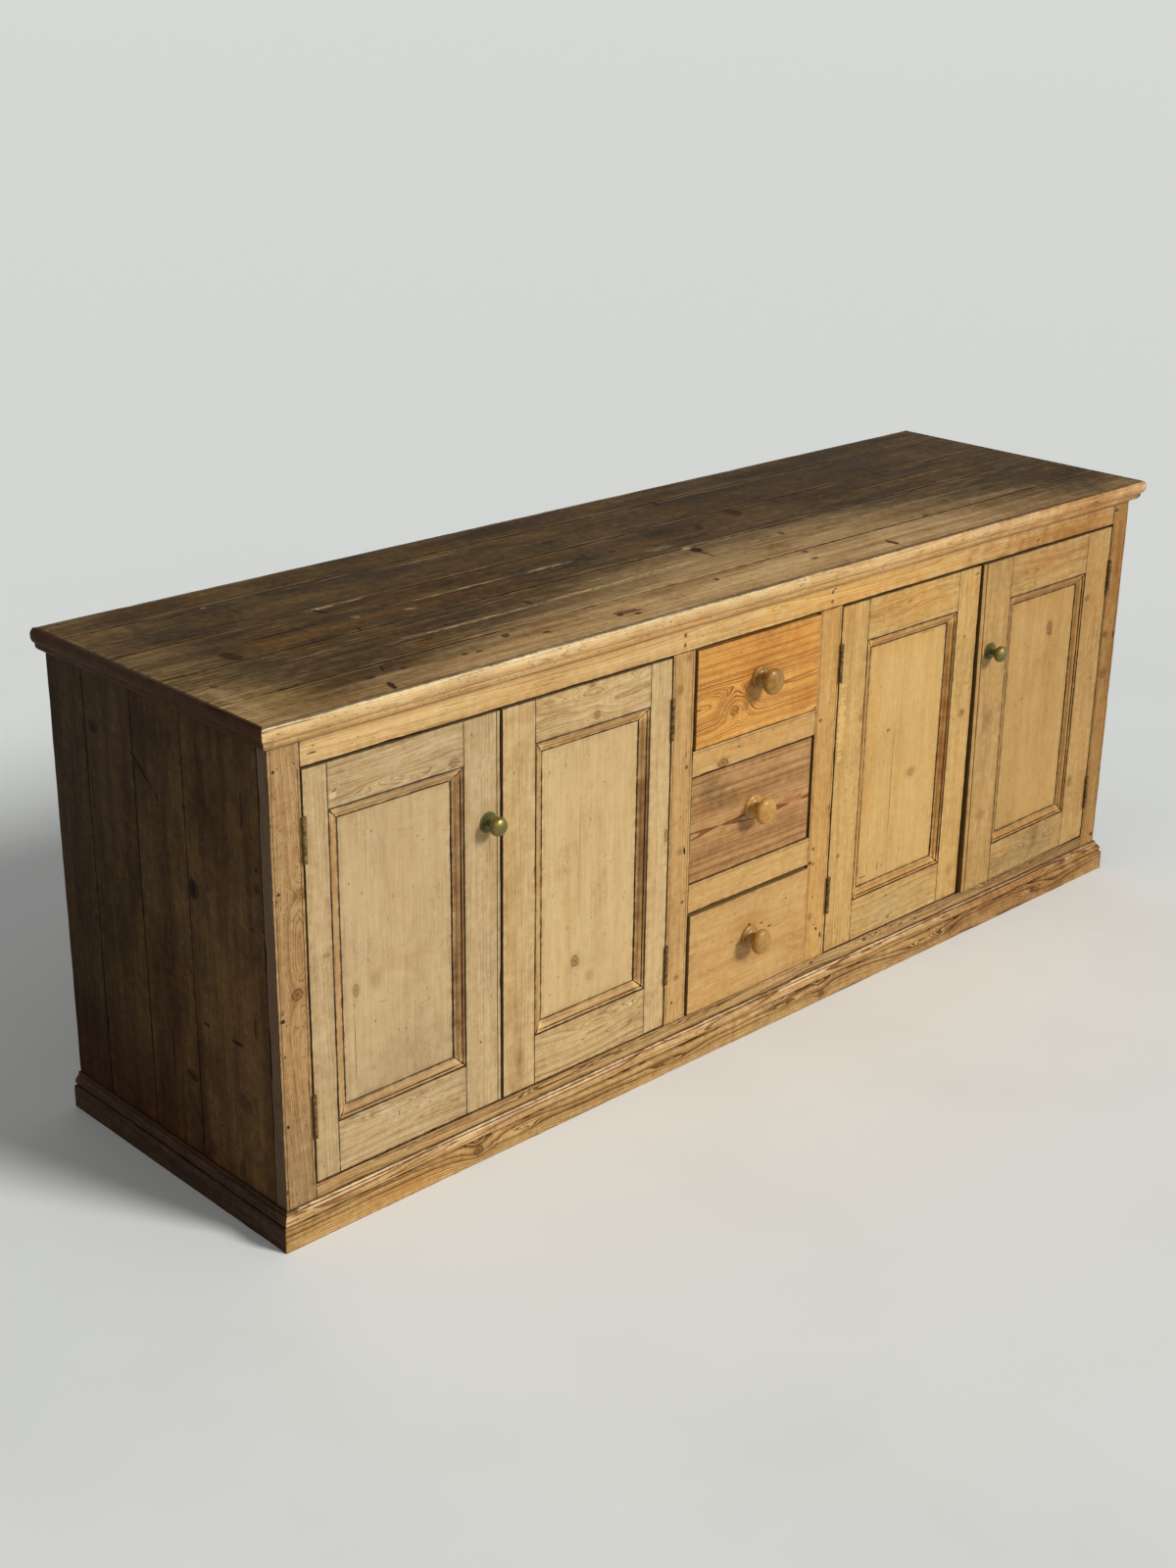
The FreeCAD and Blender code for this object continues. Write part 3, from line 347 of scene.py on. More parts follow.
    # Knots, with a dark rim, rings and cracks
    near = given["Near"]
    colour = net.mix(net.step(near, 2.4, 1.0, 0.0, 0.22), colour, given["Late"])
    crazed = net.noise(given["Place"], 170.0, 2, 0.7)
    crack = net.step(net.apart(crazed, 0.5), 0.02, 0.0, 0.0, 0.6)
    circles = net.step(net.math("SINE", net.times(near, 16.0)), 0.3, 0.95, 0.0, 0.35)
    rim = net.step(net.apart(near, 0.95), 0.24, 0.08)
    rim = net.times(rim, net.step(crazed, 0.36, 0.52, 0.5, 1.0))
    lines = net.most(net.most(rim, crack), net.step(near, 0.34, 0.1))
    lines = net.most(lines, circles)
    knot = net.mix(net.times(lines, 0.85), given["Late"], given["Wax"])
    heart = net.times(given["Heart"], net.most(lines, given["Fill"]))
    colour = net.mix(heart, colour, knot)

    # Wax and dirt in the joints, painted shade on the sides of boards, bare edges, and marks
    coarse = net.noise(net.vector("ADD", given["Place"], seed), 11.0, 2, 0.5)
    room = net.split(given["Room"])
    side_gap = net.minus(room[1], net.math("ABSOLUTE", across))
    gap = net.least(side_gap, given["End Gap"])
    depth = net.minus(room[2], net.math("ABSOLUTE", through))
    face = net.most(net.step(depth, 3.5 * MM, 1 * MM), net.minus(1.0, given["Flat"]))
    broken = net.times(given["Joint Width"], net.about(gritty, 1.0, 1.7))
    seam = net.step(gap, broken, net.times(broken, 0.55))
    seam = net.times(seam, net.times(face, given["Joint"]))
    seam = net.times(seam, net.step(coarse, 0.25, 0.55, 0.65, 1.0))
    dirt = net.times(net.step(gap, 16 * MM, 0.0), net.times(face, given["Grime"]))
    dirt = net.times(dirt, net.step(net.about(gritty, 0.5, 1.0), 0.3, 0.75))
    colour = net.mix(dirt, colour, net.mix(0.45, given["Stain"], given["Wax"]))
    # Painted shade: a board's sides, away from its front and back faces, take the side-shade colour
    hidden = net.times(net.minus(1.0, face), given["Sides"])
    colour = net.mix(hidden, colour, given["Hidden"])
    scuff = net.times(net.step(gap, 13 * MM, 4 * MM), net.step(middling, 0.47, 0.58))
    scuff = net.times(scuff, net.times(given["Scuff"], face))
    colour = net.mix(scuff, colour, given["Rubbed"])
    colour = net.mix(seam, colour, given["Wax"])
    crevice = net.times(net.step(given["Edge"], -0.3, -0.8), net.step(gritty, 0.3, 0.5, 0.5, 1.0))
    colour = net.mix(crevice, colour, given["Wax"])
    rubbed = net.times(net.most(given["Edge"], 0.0), given["Wear"])
    rubbed = net.times(rubbed, net.step(coarse, 0.35, 0.6))
    rubbed = net.times(rubbed, net.minus(1.0, seam))
    rubbed = net.most(rubbed, given["Light Mark"])
    colour = net.mix(net.least(rubbed, 1.0), colour, given["Rubbed"])
    colour = net.mix(given["Dark Mark"], colour, given["Wax"])
    net.feed(out["Colour"], colour)

    # Roughness and height
    rough = net.about(cloud, 0.56, 0.25)
    rough = net.times_plus(weight, -0.08, net.minus(rough, given["Gloss"]))
    low = net.most(seam, given["Dark Mark"])
    net.feed(out["Roughness"], net.times_plus(low, 0.15, rough, clamp=True))
    height = net.times(weight, 0.12)
    height = net.times_plus(fibre, 0.16, height)
    height = net.times_plus(coarse, 0.9, height)
    height = net.times_plus(gritty, 0.18, height)
    height = net.times_plus(low, -0.7, height)
    height = net.times_plus(fleck, -0.15, height)
    net.feed(out["Height"], height)
    return tree


groups = {}


def group(name):
    """A shared group, built the first time that it is asked for."""
    makers = {"knot": knot_group, "mark": mark_group, "pine": pine_group, "metal": metal_group}
    if name not in groups:
        groups[name] = makers[name]()
    return groups[name]


def new_material(name):
    """A material, the net of its nodes and the inputs of its shader."""
    material = bpy.data.materials.new(name)
    material.use_nodes = True
    net = Net(material.node_tree)
    return material, net, material.node_tree.nodes["Principled BSDF"].inputs


def connect(net, shader, made, bumpy):
    """Joins a group's colour, roughness and height to the shader."""
    bump = net.add("ShaderNodeBump", {"Strength": bumpy, "Distance": MM, "Height": made["Height"]})
    net.feed(shader["Base Color"], made["Colour"])
    net.feed(shader["Roughness"], made["Roughness"])
    net.feed(shader["Normal"], bump.outputs[0])


# Ring spacing, pith across, pith depth, wander and the length it wanders over, all in mm
FIGURES = {
    "quiet": (4.0, 310, 60, 22, 900),
    "straight": (3.0, 130, 45, 18, 700),
    "cathedral": (3.6, 6, 7, 26, 360),
    "tongue": (4.6, 0, 19, 9, 420),
    "wavy": (4.4, 24, 9, 30, 300),
}

# For each face that is seen: its two directions, the place of its origin, and the direction through it
FACES = {
    "front": ((1, 0, 0), (0, 0, 1), (0, Y_FRONT, 0), (0, 1, 0)),
    "top": ((1, 0, 0), (0, 1, 0), (0, Y_FRONT, Z_TOP), (0, 0, 1)),
    "left": ((0, 1, 0), (0, 0, 1), (X_LEFT, Y_FRONT, 0), (1, 0, 0)),
}


def spot(face, u, v):
    """A place on a face, from millimetres."""
    first, second, origin, _ = (Vector(part) for part in FACES[face])
    return origin + (first * u + second * v) * MM


def extent(face, u, v, through):
    """Half sizes of a mark on a face, from millimetres."""
    first, second, _, normal = (Vector(part) for part in FACES[face])
    return (first * u + second * v + normal * through) * MM


# On each node: knots as (u, v, radius u, radius v, darkness, push), which also bend the rings
KNOTS = {
    "corner_stile_left": [(-1087, 442, 11, 10, 1, 10.8), (-1074, 610, 9, 9, 0.49, 10.8)],
    "corner_stile_right": [(1085, 565, 8, 7, 1, 4.8), (1092, 475, 11, 10, 0.77, 6.0)],
    "muntin_left": [
        (-227, 802, 5, 6, 0.63, 3.6), (-248, 747, 7, 8, 0.56, 4.8), (-237, 435, 6, 5, 0.56, 3.6),
        (-236, 182, 6, 5, 0.84, 4.8),
    ],
    "muntin_right": [(138, 188, 6, 6, 0.7, 3.6), (178, 408, 4, 5, 0.7, 2.4)],
    "drawer_rails": [(-130, 580, 13, 8, 1, 6.0)],
    "door_1_rails": [(-765, 745, 9, 8, 0.63, 7.2)],
    "door_1_panel": [(-967, 405, 6, 11, 0.7, 6.0), (-927, 410, 9, 10, 0.21, 3.6)],
    "door_1_stiles": [(-1027, 490, 7, 3, 0.49, 3.6)],
    "door_2_rails": [(-449, 750, 8, 8, 0.84, 8.4), (-461, 806, 6, 4, 0.7, 4.8)],
    "door_2_panel": [(-486, 296, 10, 11, 1, 7.2), (-450, 257, 8, 9, 0.35, 3.6)],
    "door_2_stiles": [(-273, 478, 5, 11, 0.84, 14.4)],
    "door_3_panel": [(440, 412, 11, 8, 0.56, 4.8), (360, 520, 5, 3, 0.63, 2.4)],
    "door_3_stiles": [
        (582, 505, 9, 8, 0.7, 4.8), (579, 157, 9, 9, 0.28, 6.0), (260, 573, 7, 6, 0.56, 3.6),
        (214, 295, 4, 4, 1, 2.4),
    ],
    "door_4_panel": [(880, 622, 9, 15, 0.84, 6.0)],
    "door_4_stiles": [
        (670, 480, 12, 13, 0.308, 8.4), (667, 260, 12, 8, 0.35, 4.8), (1000, 665, 7, 7, 0.77, 4.8),
        (1002, 245, 8, 10, 0.7, 4.8),
    ],
    "door_4_rails": [(882, 158, 10, 14, 0.42, 7.2)],
    "drawer_1_front": [(-108, 676, 11, 10, 0.84, 7.2), (-80, 677, 7, 7, 0.49, 4.8)],
    "plinth_boards": [(-732, 25, 11, 9, 0.98, 14.4), (168, 15, 9, 8, 0.91, 12.0)],
    "side_boards_left": [
        (485, 760, 14, 12, 0.98, 10.8), (216, 560, 13, 18, 1, 9.6), (250, 210, 20, 9, 0.98, 9.6),
        (40, 620, 7, 9, 0.84, 6.0),
    ],
    "top_boards": [(-1020, 515, 9, 20, 0.7, 9.6), (-140, 455, 20, 9, 0.7, 9.6), (-5, 300, 9, 6, 0.7, 7.2)],
}

# Long eyes in the grain: (u, v, radius u, radius v, push)
EYES = {
    "top_rail": [(-880, 845, 160, 6, 9), (-60, 850, 120, 6, 8), (600, 848, 170, 6, 9)],
    "door_1_rails": [(-875, 752, 80, 9, 20), (-900, 168, 75, 9, 20), (-800, 135, 90, 8, 12)],
    "door_2_rails": [
        (-455, 790, 60, 10, 26), (-372, 795, 30, 7, 12), (-560, 795, 40, 8, 14), (-420, 165, 90, 9, 18),
        (-330, 140, 60, 8, 12),
    ],
    "door_2_stiles": [(-281, 440, 8, 26, 12)],
    "door_3_rails": [(400, 775, 110, 8, 8)],
    "door_4_rails": [(860, 742, 120, 9, 16), (930, 755, 60, 8, 9)],
    "door_4_panel": [(765, 205, 60, 12, 12)],
    "drawer_1_front": [(-104, 690, 44, 27, 30)],
    "drawer_2_front": [(-136, 453, 70, 12, 5), (66, 456, 60, 10, 5)],
    "plinth_boards": [
        (-640, 22, 60, 8, 14), (-260, 20, 80, 8, 14), (60, 28, 60, 7, 12), (520, 22, 90, 8, 14),
        (900, 20, 80, 8, 12),
    ],
    "bottom_rail": [
        (-500, 78, 150, 5, 12), (-160, 80, 60, 5, 10), (380, 78, 90, 5, 12), (800, 80, 120, 5, 10),
    ],
    "corner_stile_left": [(-1085, 395, 8, 26, 9)],
    "top_boards": [(-330, 430, 150, 20, 20), (350, 200, 200, 18, 18)],
}

# Dark marks such as nail holes, gouges, cracks and scratches: (u, v, half u, half v, turn, strength)
HOLES = {
    "corner_stile_left": [
        (-1115, 819, 3, 3, 0, 1), (-1114, 620, 3, 3, 0, 1), (-1117, 405, 5, 4, 0, 1),
        (-1116, 418, 2, 4, 0, 0.7), (-1115, 342, 2, 3, 0, 0.9), (-1115, 217, 3, 3, 0, 1),
        (-1122, 100, 2, 5, 0, 0.8),
    ],
    "corner_stile_right": [
        (1080, 843, 8, 4, 0, 0.8), (1117, 560, 4, 8, 0, 0.9), (1115, 413, 3, 4, 0, 0.7),
        (1112, 87, 5, 5, 0, 0.9), (1117, 245, 3, 2, 0, 0.8), (1119, 600, 2, 20, 0, 0.6),
    ],
    "top_rail": [
        (-1042, 832, 9, 1.3, 0, 0.9), (-1040, 843, 3, 1, 0, 0.7), (160, 850, 6, 2, 0, 0.6),
        (800, 828, 8, 2.4, 12, 0.6), (-800, 816, 60, 2.2, 0, 0.35),
    ],
    "muntin_left": [(-225, 434, 2.6, 9, 10, 1), (-246, 133, 2.6, 3, 0, 1), (-228, 620, 2, 7, 0, 0.5)],
    "muntin_right": [
        (143, 228, 1.6, 5, 0, 0.7), (151, 166, 2.6, 1.6, 0, 0.9), (159, 155, 2.6, 4, 20, 1),
        (172, 138, 3, 7, 0, 0.9), (139, 300, 5, 4, 45, 0.6), (130, 305, 5, 4, 0, 0.9),
    ],
    "drawer_rails": [(-88, 601, 4, 1.3, 0, 0.7)],
    "door_1_panel": [
        (-971, 300, 0.7, 84, 0, 0.8), (-915, 367, 17, 0.9, -8, 0.4), (-822, 337, 26, 0.6, 8, 0.3),
        (-868, 655, 30, 0.6, -12, 0.25), (-994, 490, 2, 3, 0, 0.8), (-929, 336, 2, 3, 0, 0.6),
        (-850, 230, 0.6, 22, 0, 0.3),
    ],
    "door_1_rails": [
        (-891, 155, 1.4, 5, 0, 0.7), (-985, 184, 14, 1.2, 0, 0.6), (-1003, 761, 6, 2, 30, 0.6),
    ],
    "door_1_stiles": [(-713, 222, 2, 2.4, 0, 0.8), (-1048, 118, 2, 1.6, 0, 0.7)],
    "door_2_panel": [
        (-477, 530, 0.7, 95, 0, 0.6), (-512, 672, 1, 5, 0, 0.7), (-420, 617, 2, 2, 0, 0.5),
        (-450, 618, 3, 2, 0, 0.4), (-510, 477, 1.4, 8, 30, 0.4), (-561, 310, 4, 1.4, 0, 0.6),
        (-430, 425, 5, 1, -40, 0.35),
    ],
    "door_2_stiles": [(-637, 693, 1.4, 2.4, 0, 0.7), (-590, 297, 2, 4, 0, 0.4)],
    "door_3_panel": [
        (377.5, 392, 0.9, 184, 0.3, 0.75), (320, 232, 0.8, 16, 0, 0.7), (352, 230, 1.2, 14, 0, 0.9),
        (305, 219, 13, 1.8, 0, 0.8), (366, 227, 2, 4, 0, 0.5), (365, 712, 0.6, 30, 0, 0.4),
        (357, 520, 4, 2, -30, 0.6), (407, 596, 4, 1.6, 0, 0.4), (420, 248, 2.4, 3, 0, 0.5),
        (330, 704, 30, 1.2, 0, 0.5), (460, 702, 22, 2, 0, 0.45), (327, 618, 4, 1.2, -25, 0.4),
    ],
    "door_3_stiles": [
        (573, 670, 2.6, 3, 0, 0.7), (226, 480, 4, 1.4, 0, 0.4), (586, 507, 6, 2, 60, 0.5),
        (600, 795, 9, 3, 0, 0.5),
    ],
    "door_3_rails": [(376, 160, 3, 2, 0, 0.7), (385, 110, 6, 5, 20, 0.6), (332, 172, 9, 1, 40, 0.5)],
    "door_4_panel": [(800, 483, 8, 1.1, 0, 0.6), (887, 610, 4, 8, 0, 0.4), (740, 687, 8, 1.2, 0, 0.5)],
    "door_4_rails": [(690, 700, 12, 1.6, 0, 0.4)],
    "drawer_1_front": [(-95, 783, 3, 2, 0, 0.5), (117, 628, 5, 2, 0, 0.8)],
    "drawer_3_front": [
        (-8, 222, 4, 1.6, 0, 1), (16, 209, 6, 1.8, 0, 1), (-90, 208, 2.4, 1.5, 0, 0.9),
        (-75, 198, 8, 0.9, 0, 0.8), (60, 253, 3.4, 1.5, 0, 0.8), (-42, 230, 4, 3, 0, 0.9),
        (-150, 170, 5, 1, 10, 0.4),
    ],
    "plinth_boards": [
        (-610, 11, 11, 4.5, 0, 1), (-502, 18, 4, 3, 0, 1), (40, 15, 10, 3, 0, 1), (690, 12, 9, 4, 0, 1),
        (350, 33, 4, 2.4, 0, 0.7), (-20, 28, 8, 2, 20, 0.6),
    ],
    "bottom_rail": [(150, 84, 5, 3, 0, 0.8), (-870, 80, 9, 1.6, 0, 0.6), (480, 76, 4, 3, 0, 0.8)],
    "top_nosing": [
        (-1078, 868, 4, 3, 0, 0.9), (-647, 867, 3.4, 3, 0, 0.9), (-310, 868, 5, 2, 0, 0.7),
        (840, 876, 5, 2.4, 0, 0.6),
    ],
    "side_boards_left": [
        (216, 560, 8, 17, 0, 0.9), (252, 210, 15, 5, 30, 0.6), (485, 758, 9, 8, 0, 0.6),
        (350, 728, 40, 5, 40, 0.75), (200, 325, 11, 3, 0, 0.8), (112, 325, 17, 4, -4, 0.9),
        (72, 740, 5, 34, 0, 0.6), (307, 437, 1.4, 42, 0, 0.9), (304, 235, 4, 48, 0, 0.7),
        (40, 650, 3, 5, 0, 0.9), (25, 550, 9, 2, 0, 0.8), (60, 545, 8, 2, 0, 0.8), (62, 372, 4, 26, 0, 0.6),
        (90, 466, 8, 1, 0, 0.5), (88, 440, 1, 26, 0, 0.5), (285, 280, 1, 40, 0, 0.5),
        (175, 575, 2, 9, 0, 0.8), (512, 260, 3, 90, 0, 0.7), (500, 640, 2, 50, 0, 0.6),
        (170, 150, 3, 3, 0, 0.8), (200, 92, 12, 14, 0, 0.5), (100, 220, 22, 16, 20, 0.35),
        (370, 610, 3, 34, 0, 0.35), (280, 600, 8, 2, 0, 0.5), (306, 690, 3, 6, 0, 0.7),
        (172, 720, 3, 3, 0, 0.7), (120, 90, 9, 18, 0, 0.5),
    ],
    "top_boards": [
        (-985, 285, 13, 26, 12, 0.85), (-840, 330, 78, 5, 1, 0.85), (-735, 383, 6, 16, 10, 1),
        (-640, 391, 85, 1.6, 0, 0.75), (-820, 178, 120, 7, 1, 0.55), (-840, 485, 2, 24, 0, 0.8),
        (-882, 8, 5, 16, -20, 0.95), (-845, 78, 3, 10, -30, 1), (-884, 56, 10, 4, 0, 0.9),
        (-815, 60, 9, 5, 0, 0.8), (-700, 50, 7, 4, 0, 0.85), (-585, 78, 10, 6, 30, 0.8),
        (-522, 47, 8, 5, 0, 0.8), (-672, 45, 6, 4, 0, 0.8), (-342, 40, 34, 7, -10, 0.7),
        (-365, 35, 8, 6, 30, 0.9), (-336, 21, 7, 6, 0, 0.9), (-435, 194, 5, 13, 0, 0.75),
        (-620, 188, 6, 6, 0, 0.7), (-745, 262, 4, 9, -20, 0.8), (-840, 262, 4, 7, 0, 0.6),
        (-350, 88, 60, 2, 0, 0.4), (28, 232, 11, 20, -30, 1), (26, 205, 5, 22, 0, 0.7),
        (285, 375, 14, 22, 0, 0.75), (175, 90, 7, 7, 30, 0.8), (155, 50, 9, 5, 0, 0.8),
        (350, 22, 7, 20, 0, 0.9), (215, 527, 7, 20, -20, 0.7), (148, 342, 20, 9, 50, 0.7),
        (-85, 74, 8, 5, 30, 0.8), (240, 208, 6, 10, -20, 0.7), (-160, 350, 6, 12, 0, 0.6),
        (-100, 330, 9, 5, 0, 0.6), (380, 385, 60, 1.5, 0, 0.5), (-1090, 180, 6, 9, 0, 0.5),
        (620, 240, 40, 2, 0, 0.5), (900, 420, 50, 5, 0, 0.4), (560, 110, 9, 5, 0, 0.7),
    ],
}

# Light marks such as rubbed streaks, nicks and a filler plug: (u, v, half u, half v, turn, strength)
NICKS = {
    "door_1_rails": [(-1007, 755, 6, 6, 0, 0.6)],
    "door_3_stiles": [(201, 575, 8, 66, 0, 0.45)],
    "top_boards": [
        (-560, 172, 190, 6, 0, 0.75), (-300, 176, 130, 7, 0, 0.9), (-120, 180, 130, 8, 0, 0.85),
        (-480, 330, 130, 5, 0, 0.6), (-260, 330, 70, 6, 0, 0.7), (-690, 400, 70, 3, 0, 0.8),
        (-732, 399, 16, 5, 0, 1), (-400, 516, 90, 4, 0, 0.45), (25, 252, 16, 9, 10, 0.95),
        (120, 258, 110, 2.4, 0, 0.5), (-880, 206, 60, 3, 0, 0.4), (-610, 296, 12, 5, -20, 0.8),
        (-708, 320, 9, 12, 0, 0.5), (-20, 285, 40, 12, 0, 0.35), (-300, 105, 380, 4, 0, 0.55),
        (240, 108, 300, 4, 0, 0.5), (-870, 530, 8, 4, 0, 0.5), (-1100, 100, 18, 90, 0, 0.4),
        (600, 190, 260, 5, 0, 0.35), (800, 330, 200, 4, 0, 0.3), (-320, 40, 60, 3, -10, 0.7),
    ],
}

# Broad soft stains and tints, the tints darkening some pieces towards their right-hand ends: (u, v, half u, half
# v, turn, strength, colour as factors of the piece's own)
TINTS = {
    "top_rail": [
        (200, 832, 460, 60, 0, 0.85, (1.01, 0.94, 0.76)), (900, 832, 330, 60, 0, 0.95, (0.8, 0.68, 0.46)),
    ],
    "bottom_rail": [(960, 80, 420, 60, 0, 0.8, (0.8, 0.76, 0.72))],
    "corner_stile_left": [(-1090, 110, 60, 150, 0, 0.7, (0.88, 0.9, 0.92))],
    "top_nosing": [
        (300, 880, 700, 60, 0, 0.6, (0.93, 0.86, 0.74)), (920, 880, 420, 60, 0, 0.8, (0.84, 0.7, 0.54)),
        (-330, 868, 300, 12, 0, 0.4, (0.98, 0.86, 0.68)),
    ],
    "corner_stile_right": [
        (1095, 700, 60, 160, 0, 0.6, (0.94, 0.84, 0.62)), (1108, 420, 20, 160, 0, 0.4, (0.88, 0.78, 0.6)),
    ],
    "door_1_stiles": [
        (-692, 600, 12, 70, 0, 0.45, (0.86, 0.78, 0.62)), (-1040, 120, 30, 60, 0, 0.35, (0.9, 0.88, 0.84)),
    ],
    "door_1_panel": [
        (-880, 425, 60, 22, 0, 0.3, (0.92, 0.86, 0.74)), (-880, 200, 190, 170, 0, 0.75, (0.89, 0.88, 0.86)),
    ],
    "door_2_stiles": [
        (-630, 450, 30, 520, 0, 0.6, (0.93, 0.91, 0.87)), (-630, 170, 30, 180, 0, 0.6, (0.84, 0.81, 0.77)),
        (-622, 150, 18, 42, 0, 0.6, (0.74, 0.66, 0.54)), (-650, 450, 16, 330, 0, 0.45, (0.92, 0.83, 0.66)),
        (-600, 790, 50, 20, 0, 0.4, (0.85, 0.75, 0.6)),
    ],
    "door_2_panel": [
        (-470, 180, 150, 130, 0, 0.4, (0.92, 0.91, 0.88)), (-478, 430, 7, 60, 0, 0.4, (0.86, 0.8, 0.68)),
        (-520, 475, 34, 16, 0, 0.3, (0.9, 0.84, 0.72)),
    ],
    "door_2_rails": [
        (-455, 790, 26, 6, 0, 0.5, (0.86, 0.7, 0.58)), (-560, 795, 34, 6, 0, 0.3, (0.86, 0.76, 0.6)),
    ],
    "door_3_panel": [
        (400, 220, 160, 130, 0, 0.5, (0.94, 0.94, 0.97)), (400, 700, 150, 40, 0, 0.35, (1.0, 0.9, 0.7)),
        (310, 450, 20, 280, 0, 0.35, (1.0, 0.9, 0.66)),
    ],
    "door_3_stiles": [
        (200, 800, 60, 70, 0, 0.5, (0.98, 0.86, 0.62)), (590, 760, 40, 60, 0, 0.3, (0.96, 0.84, 0.6)),
        (588, 300, 26, 200, 0, 0.25, (0.92, 0.82, 0.72)),
    ],
    "door_3_rails": [
        (400, 775, 160, 44, 0, 0.6, (1.0, 0.88, 0.62)), (400, 135, 160, 50, 0, 0.85, (0.9, 0.93, 1.0)),
    ],
    "door_4_panel": [
        (850, 690, 130, 50, 0, 0.35, (0.96, 0.84, 0.64)), (790, 480, 50, 240, 0, 0.2, (0.9, 0.86, 0.76)),
        (885, 560, 26, 120, 0, 0.25, (0.9, 0.8, 0.6)),
    ],
    "door_4_stiles": [
        (665, 400, 34, 120, 0, 0.4, (0.84, 0.84, 0.86)), (1030, 640, 40, 150, 0, 0.35, (0.98, 0.84, 0.62)),
    ],
    "door_4_rails": [
        (850, 135, 170, 50, 0, 0.85, (0.86, 0.92, 1.02)), (880, 148, 22, 34, 0, 0.4, (0.62, 0.6, 0.56)),
        (760, 125, 40, 20, 20, 0.4, (0.66, 0.64, 0.6)), (850, 780, 150, 30, 0, 0.4, (0.96, 0.82, 0.6)),
    ],
    "drawer_1_front": [
        (-40, 770, 46, 60, 0, 0.5, (0.9, 0.8, 0.64)), (85, 650, 70, 26, 0, 0.45, (0.86, 0.72, 0.56)),
        (-150, 640, 60, 22, 0, 0.35, (1.06, 1.02, 0.9)), (80, 770, 60, 40, 0, 0.4, (0.97, 0.86, 0.66)),
        (80, 715, 60, 90, 0, 0.5, (0.92, 0.86, 0.76)), (-30, 770, 180, 60, 0, 0.6, (0.93, 0.85, 0.72)),
    ],
    "drawer_2_front": [
        (66, 456, 50, 8, 0, 0.9, (0.86, 0.66, 0.62)), (-155, 535, 70, 36, 0, 0.65, (0.72, 0.73, 0.74)),
        (-120, 500, 60, 20, 0, 0.4, (0.7, 0.68, 0.68)), (-100, 376, 40, 9, 0, 0.5, (0.72, 0.7, 0.68)),
        (20, 520, 110, 30, 0, 0.3, (0.94, 0.92, 0.94)), (60, 430, 70, 22, 0, 0.35, (0.94, 0.84, 0.72)),
    ],
    "drawer_3_front": [
        (-42, 240, 60, 20, 0, 0.4, (0.94, 0.82, 0.62)), (-100, 120, 130, 30, 0, 0.3, (0.95, 0.88, 0.74)),
        (90, 180, 40, 90, 0, 0.3, (0.95, 0.86, 0.68)),
    ],
    "muntin_left": [(-215, 700, 12, 160, 0, 0.4, (0.9, 0.86, 0.82))],
    "drawer_rails": [(-40, 596, 160, 26, 0, 0.3, (1.03, 0.94, 0.8))],
    "plinth_boards": [
        (860, 20, 620, 60, 0, 0.8, (0.8, 0.7, 0.58)), (-900, 20, 160, 30, 0, 0.4, (1.05, 0.92, 0.7)),
        (300, 20, 200, 30, 0, 0.35, (0.9, 0.84, 0.76)),
    ],
    "base_moulding": [(860, 50, 520, 60, 0, 0.8, (0.78, 0.68, 0.54))],
    "side_boards_left": [
        (500, 60, 260, 190, 0, 0.8, (0.8, 0.58, 0.48)), (250, 60, 200, 130, 0, 0.5, (0.9, 0.68, 0.5)),
        (300, 280, 180, 130, 0, 0.4, (1.06, 0.96, 0.78)), (110, 420, 90, 260, 0, 0.45, (1.16, 1.12, 1.06)),
        (560, 700, 60, 160, 0, 0.5, (0.72, 0.7, 0.68)),
    ],
    "top_boards": [
        (-1060, 70, 90, 80, 0, 0.75, (1.95, 2.2, 3.8)), (-860, 292, 120, 24, 0, 0.6, (1.55, 1.42, 1.2)),
        (-1000, 560, 90, 34, 0, 0.5, (0.7, 0.68, 0.66)), (-560, 300, 240, 26, 0, 0.4, (1.5, 1.32, 1.1)),
        (-500, 450, 420, 60, 0, 0.35, (1.05, 1.0, 0.92)), (700, 500, 560, 260, 0, 0.75, (0.78, 0.76, 0.84)),
        (1020, 120, 200, 160, 0, 0.7, (0.84, 0.8, 0.84)), (300, 400, 300, 60, 0, 0.35, (1.0, 0.84, 0.72)),
        (-250, 590, 600, 50, 0, 0.35, (0.94, 0.84, 0.66)),
    ],
}

# How far marks and tints, which are stains and some painted shade, go into the wood in mm; a knot goes all the way
# through
MARK_DEPTH = 16
TINT_DEPTH = 60
KNOT_DEPTH = 4000
# In a knot's radii: its distance where there is none near, and how far it pushes the rings
NO_KNOT = 9.0
KNOT_SPREAD = 3.2

# Each of the pine group's plain inputs, where a material says nothing else
PLAIN_PINE = {
    "contrast": 0.5, "mottle": 0.4, "cloud": 0.15, "flecks": 0.1, "fibre": 0.42, "ripple": 0.8,
    "uneven": 0.28, "specks": 0.6, "scuff": 0.0, "fill": 0.7, "joint": 0.9, "flat": 1.0, "wear": 0.7,
    "grime": 0.35, "sides": 0.0, "gloss": 0.0,
}


def marks(net, place, face, rows, rough, ragged, depth=MARK_DEPTH, inner=0.7):
    """The mask of a node's marks of one kind, as a chain."""
    found = 0.0
    for u, v, half_u, half_v, turn, strength in rows:
        found = net.add("ShaderNodeGroup", {
            "Place": place, "Centre": spot(face, u, v), "Reach": extent(face, half_u, half_v, depth),
            "Axis": Vector(FACES[face][3]), "Angle": math.radians(turn if face == "front" else -turn),
            "Rough": rough, "Ragged": ragged, "Inner": inner, "Strength": strength, "Before": found,
        }, node_tree=group("mark")).outputs["Mark"]
    return found


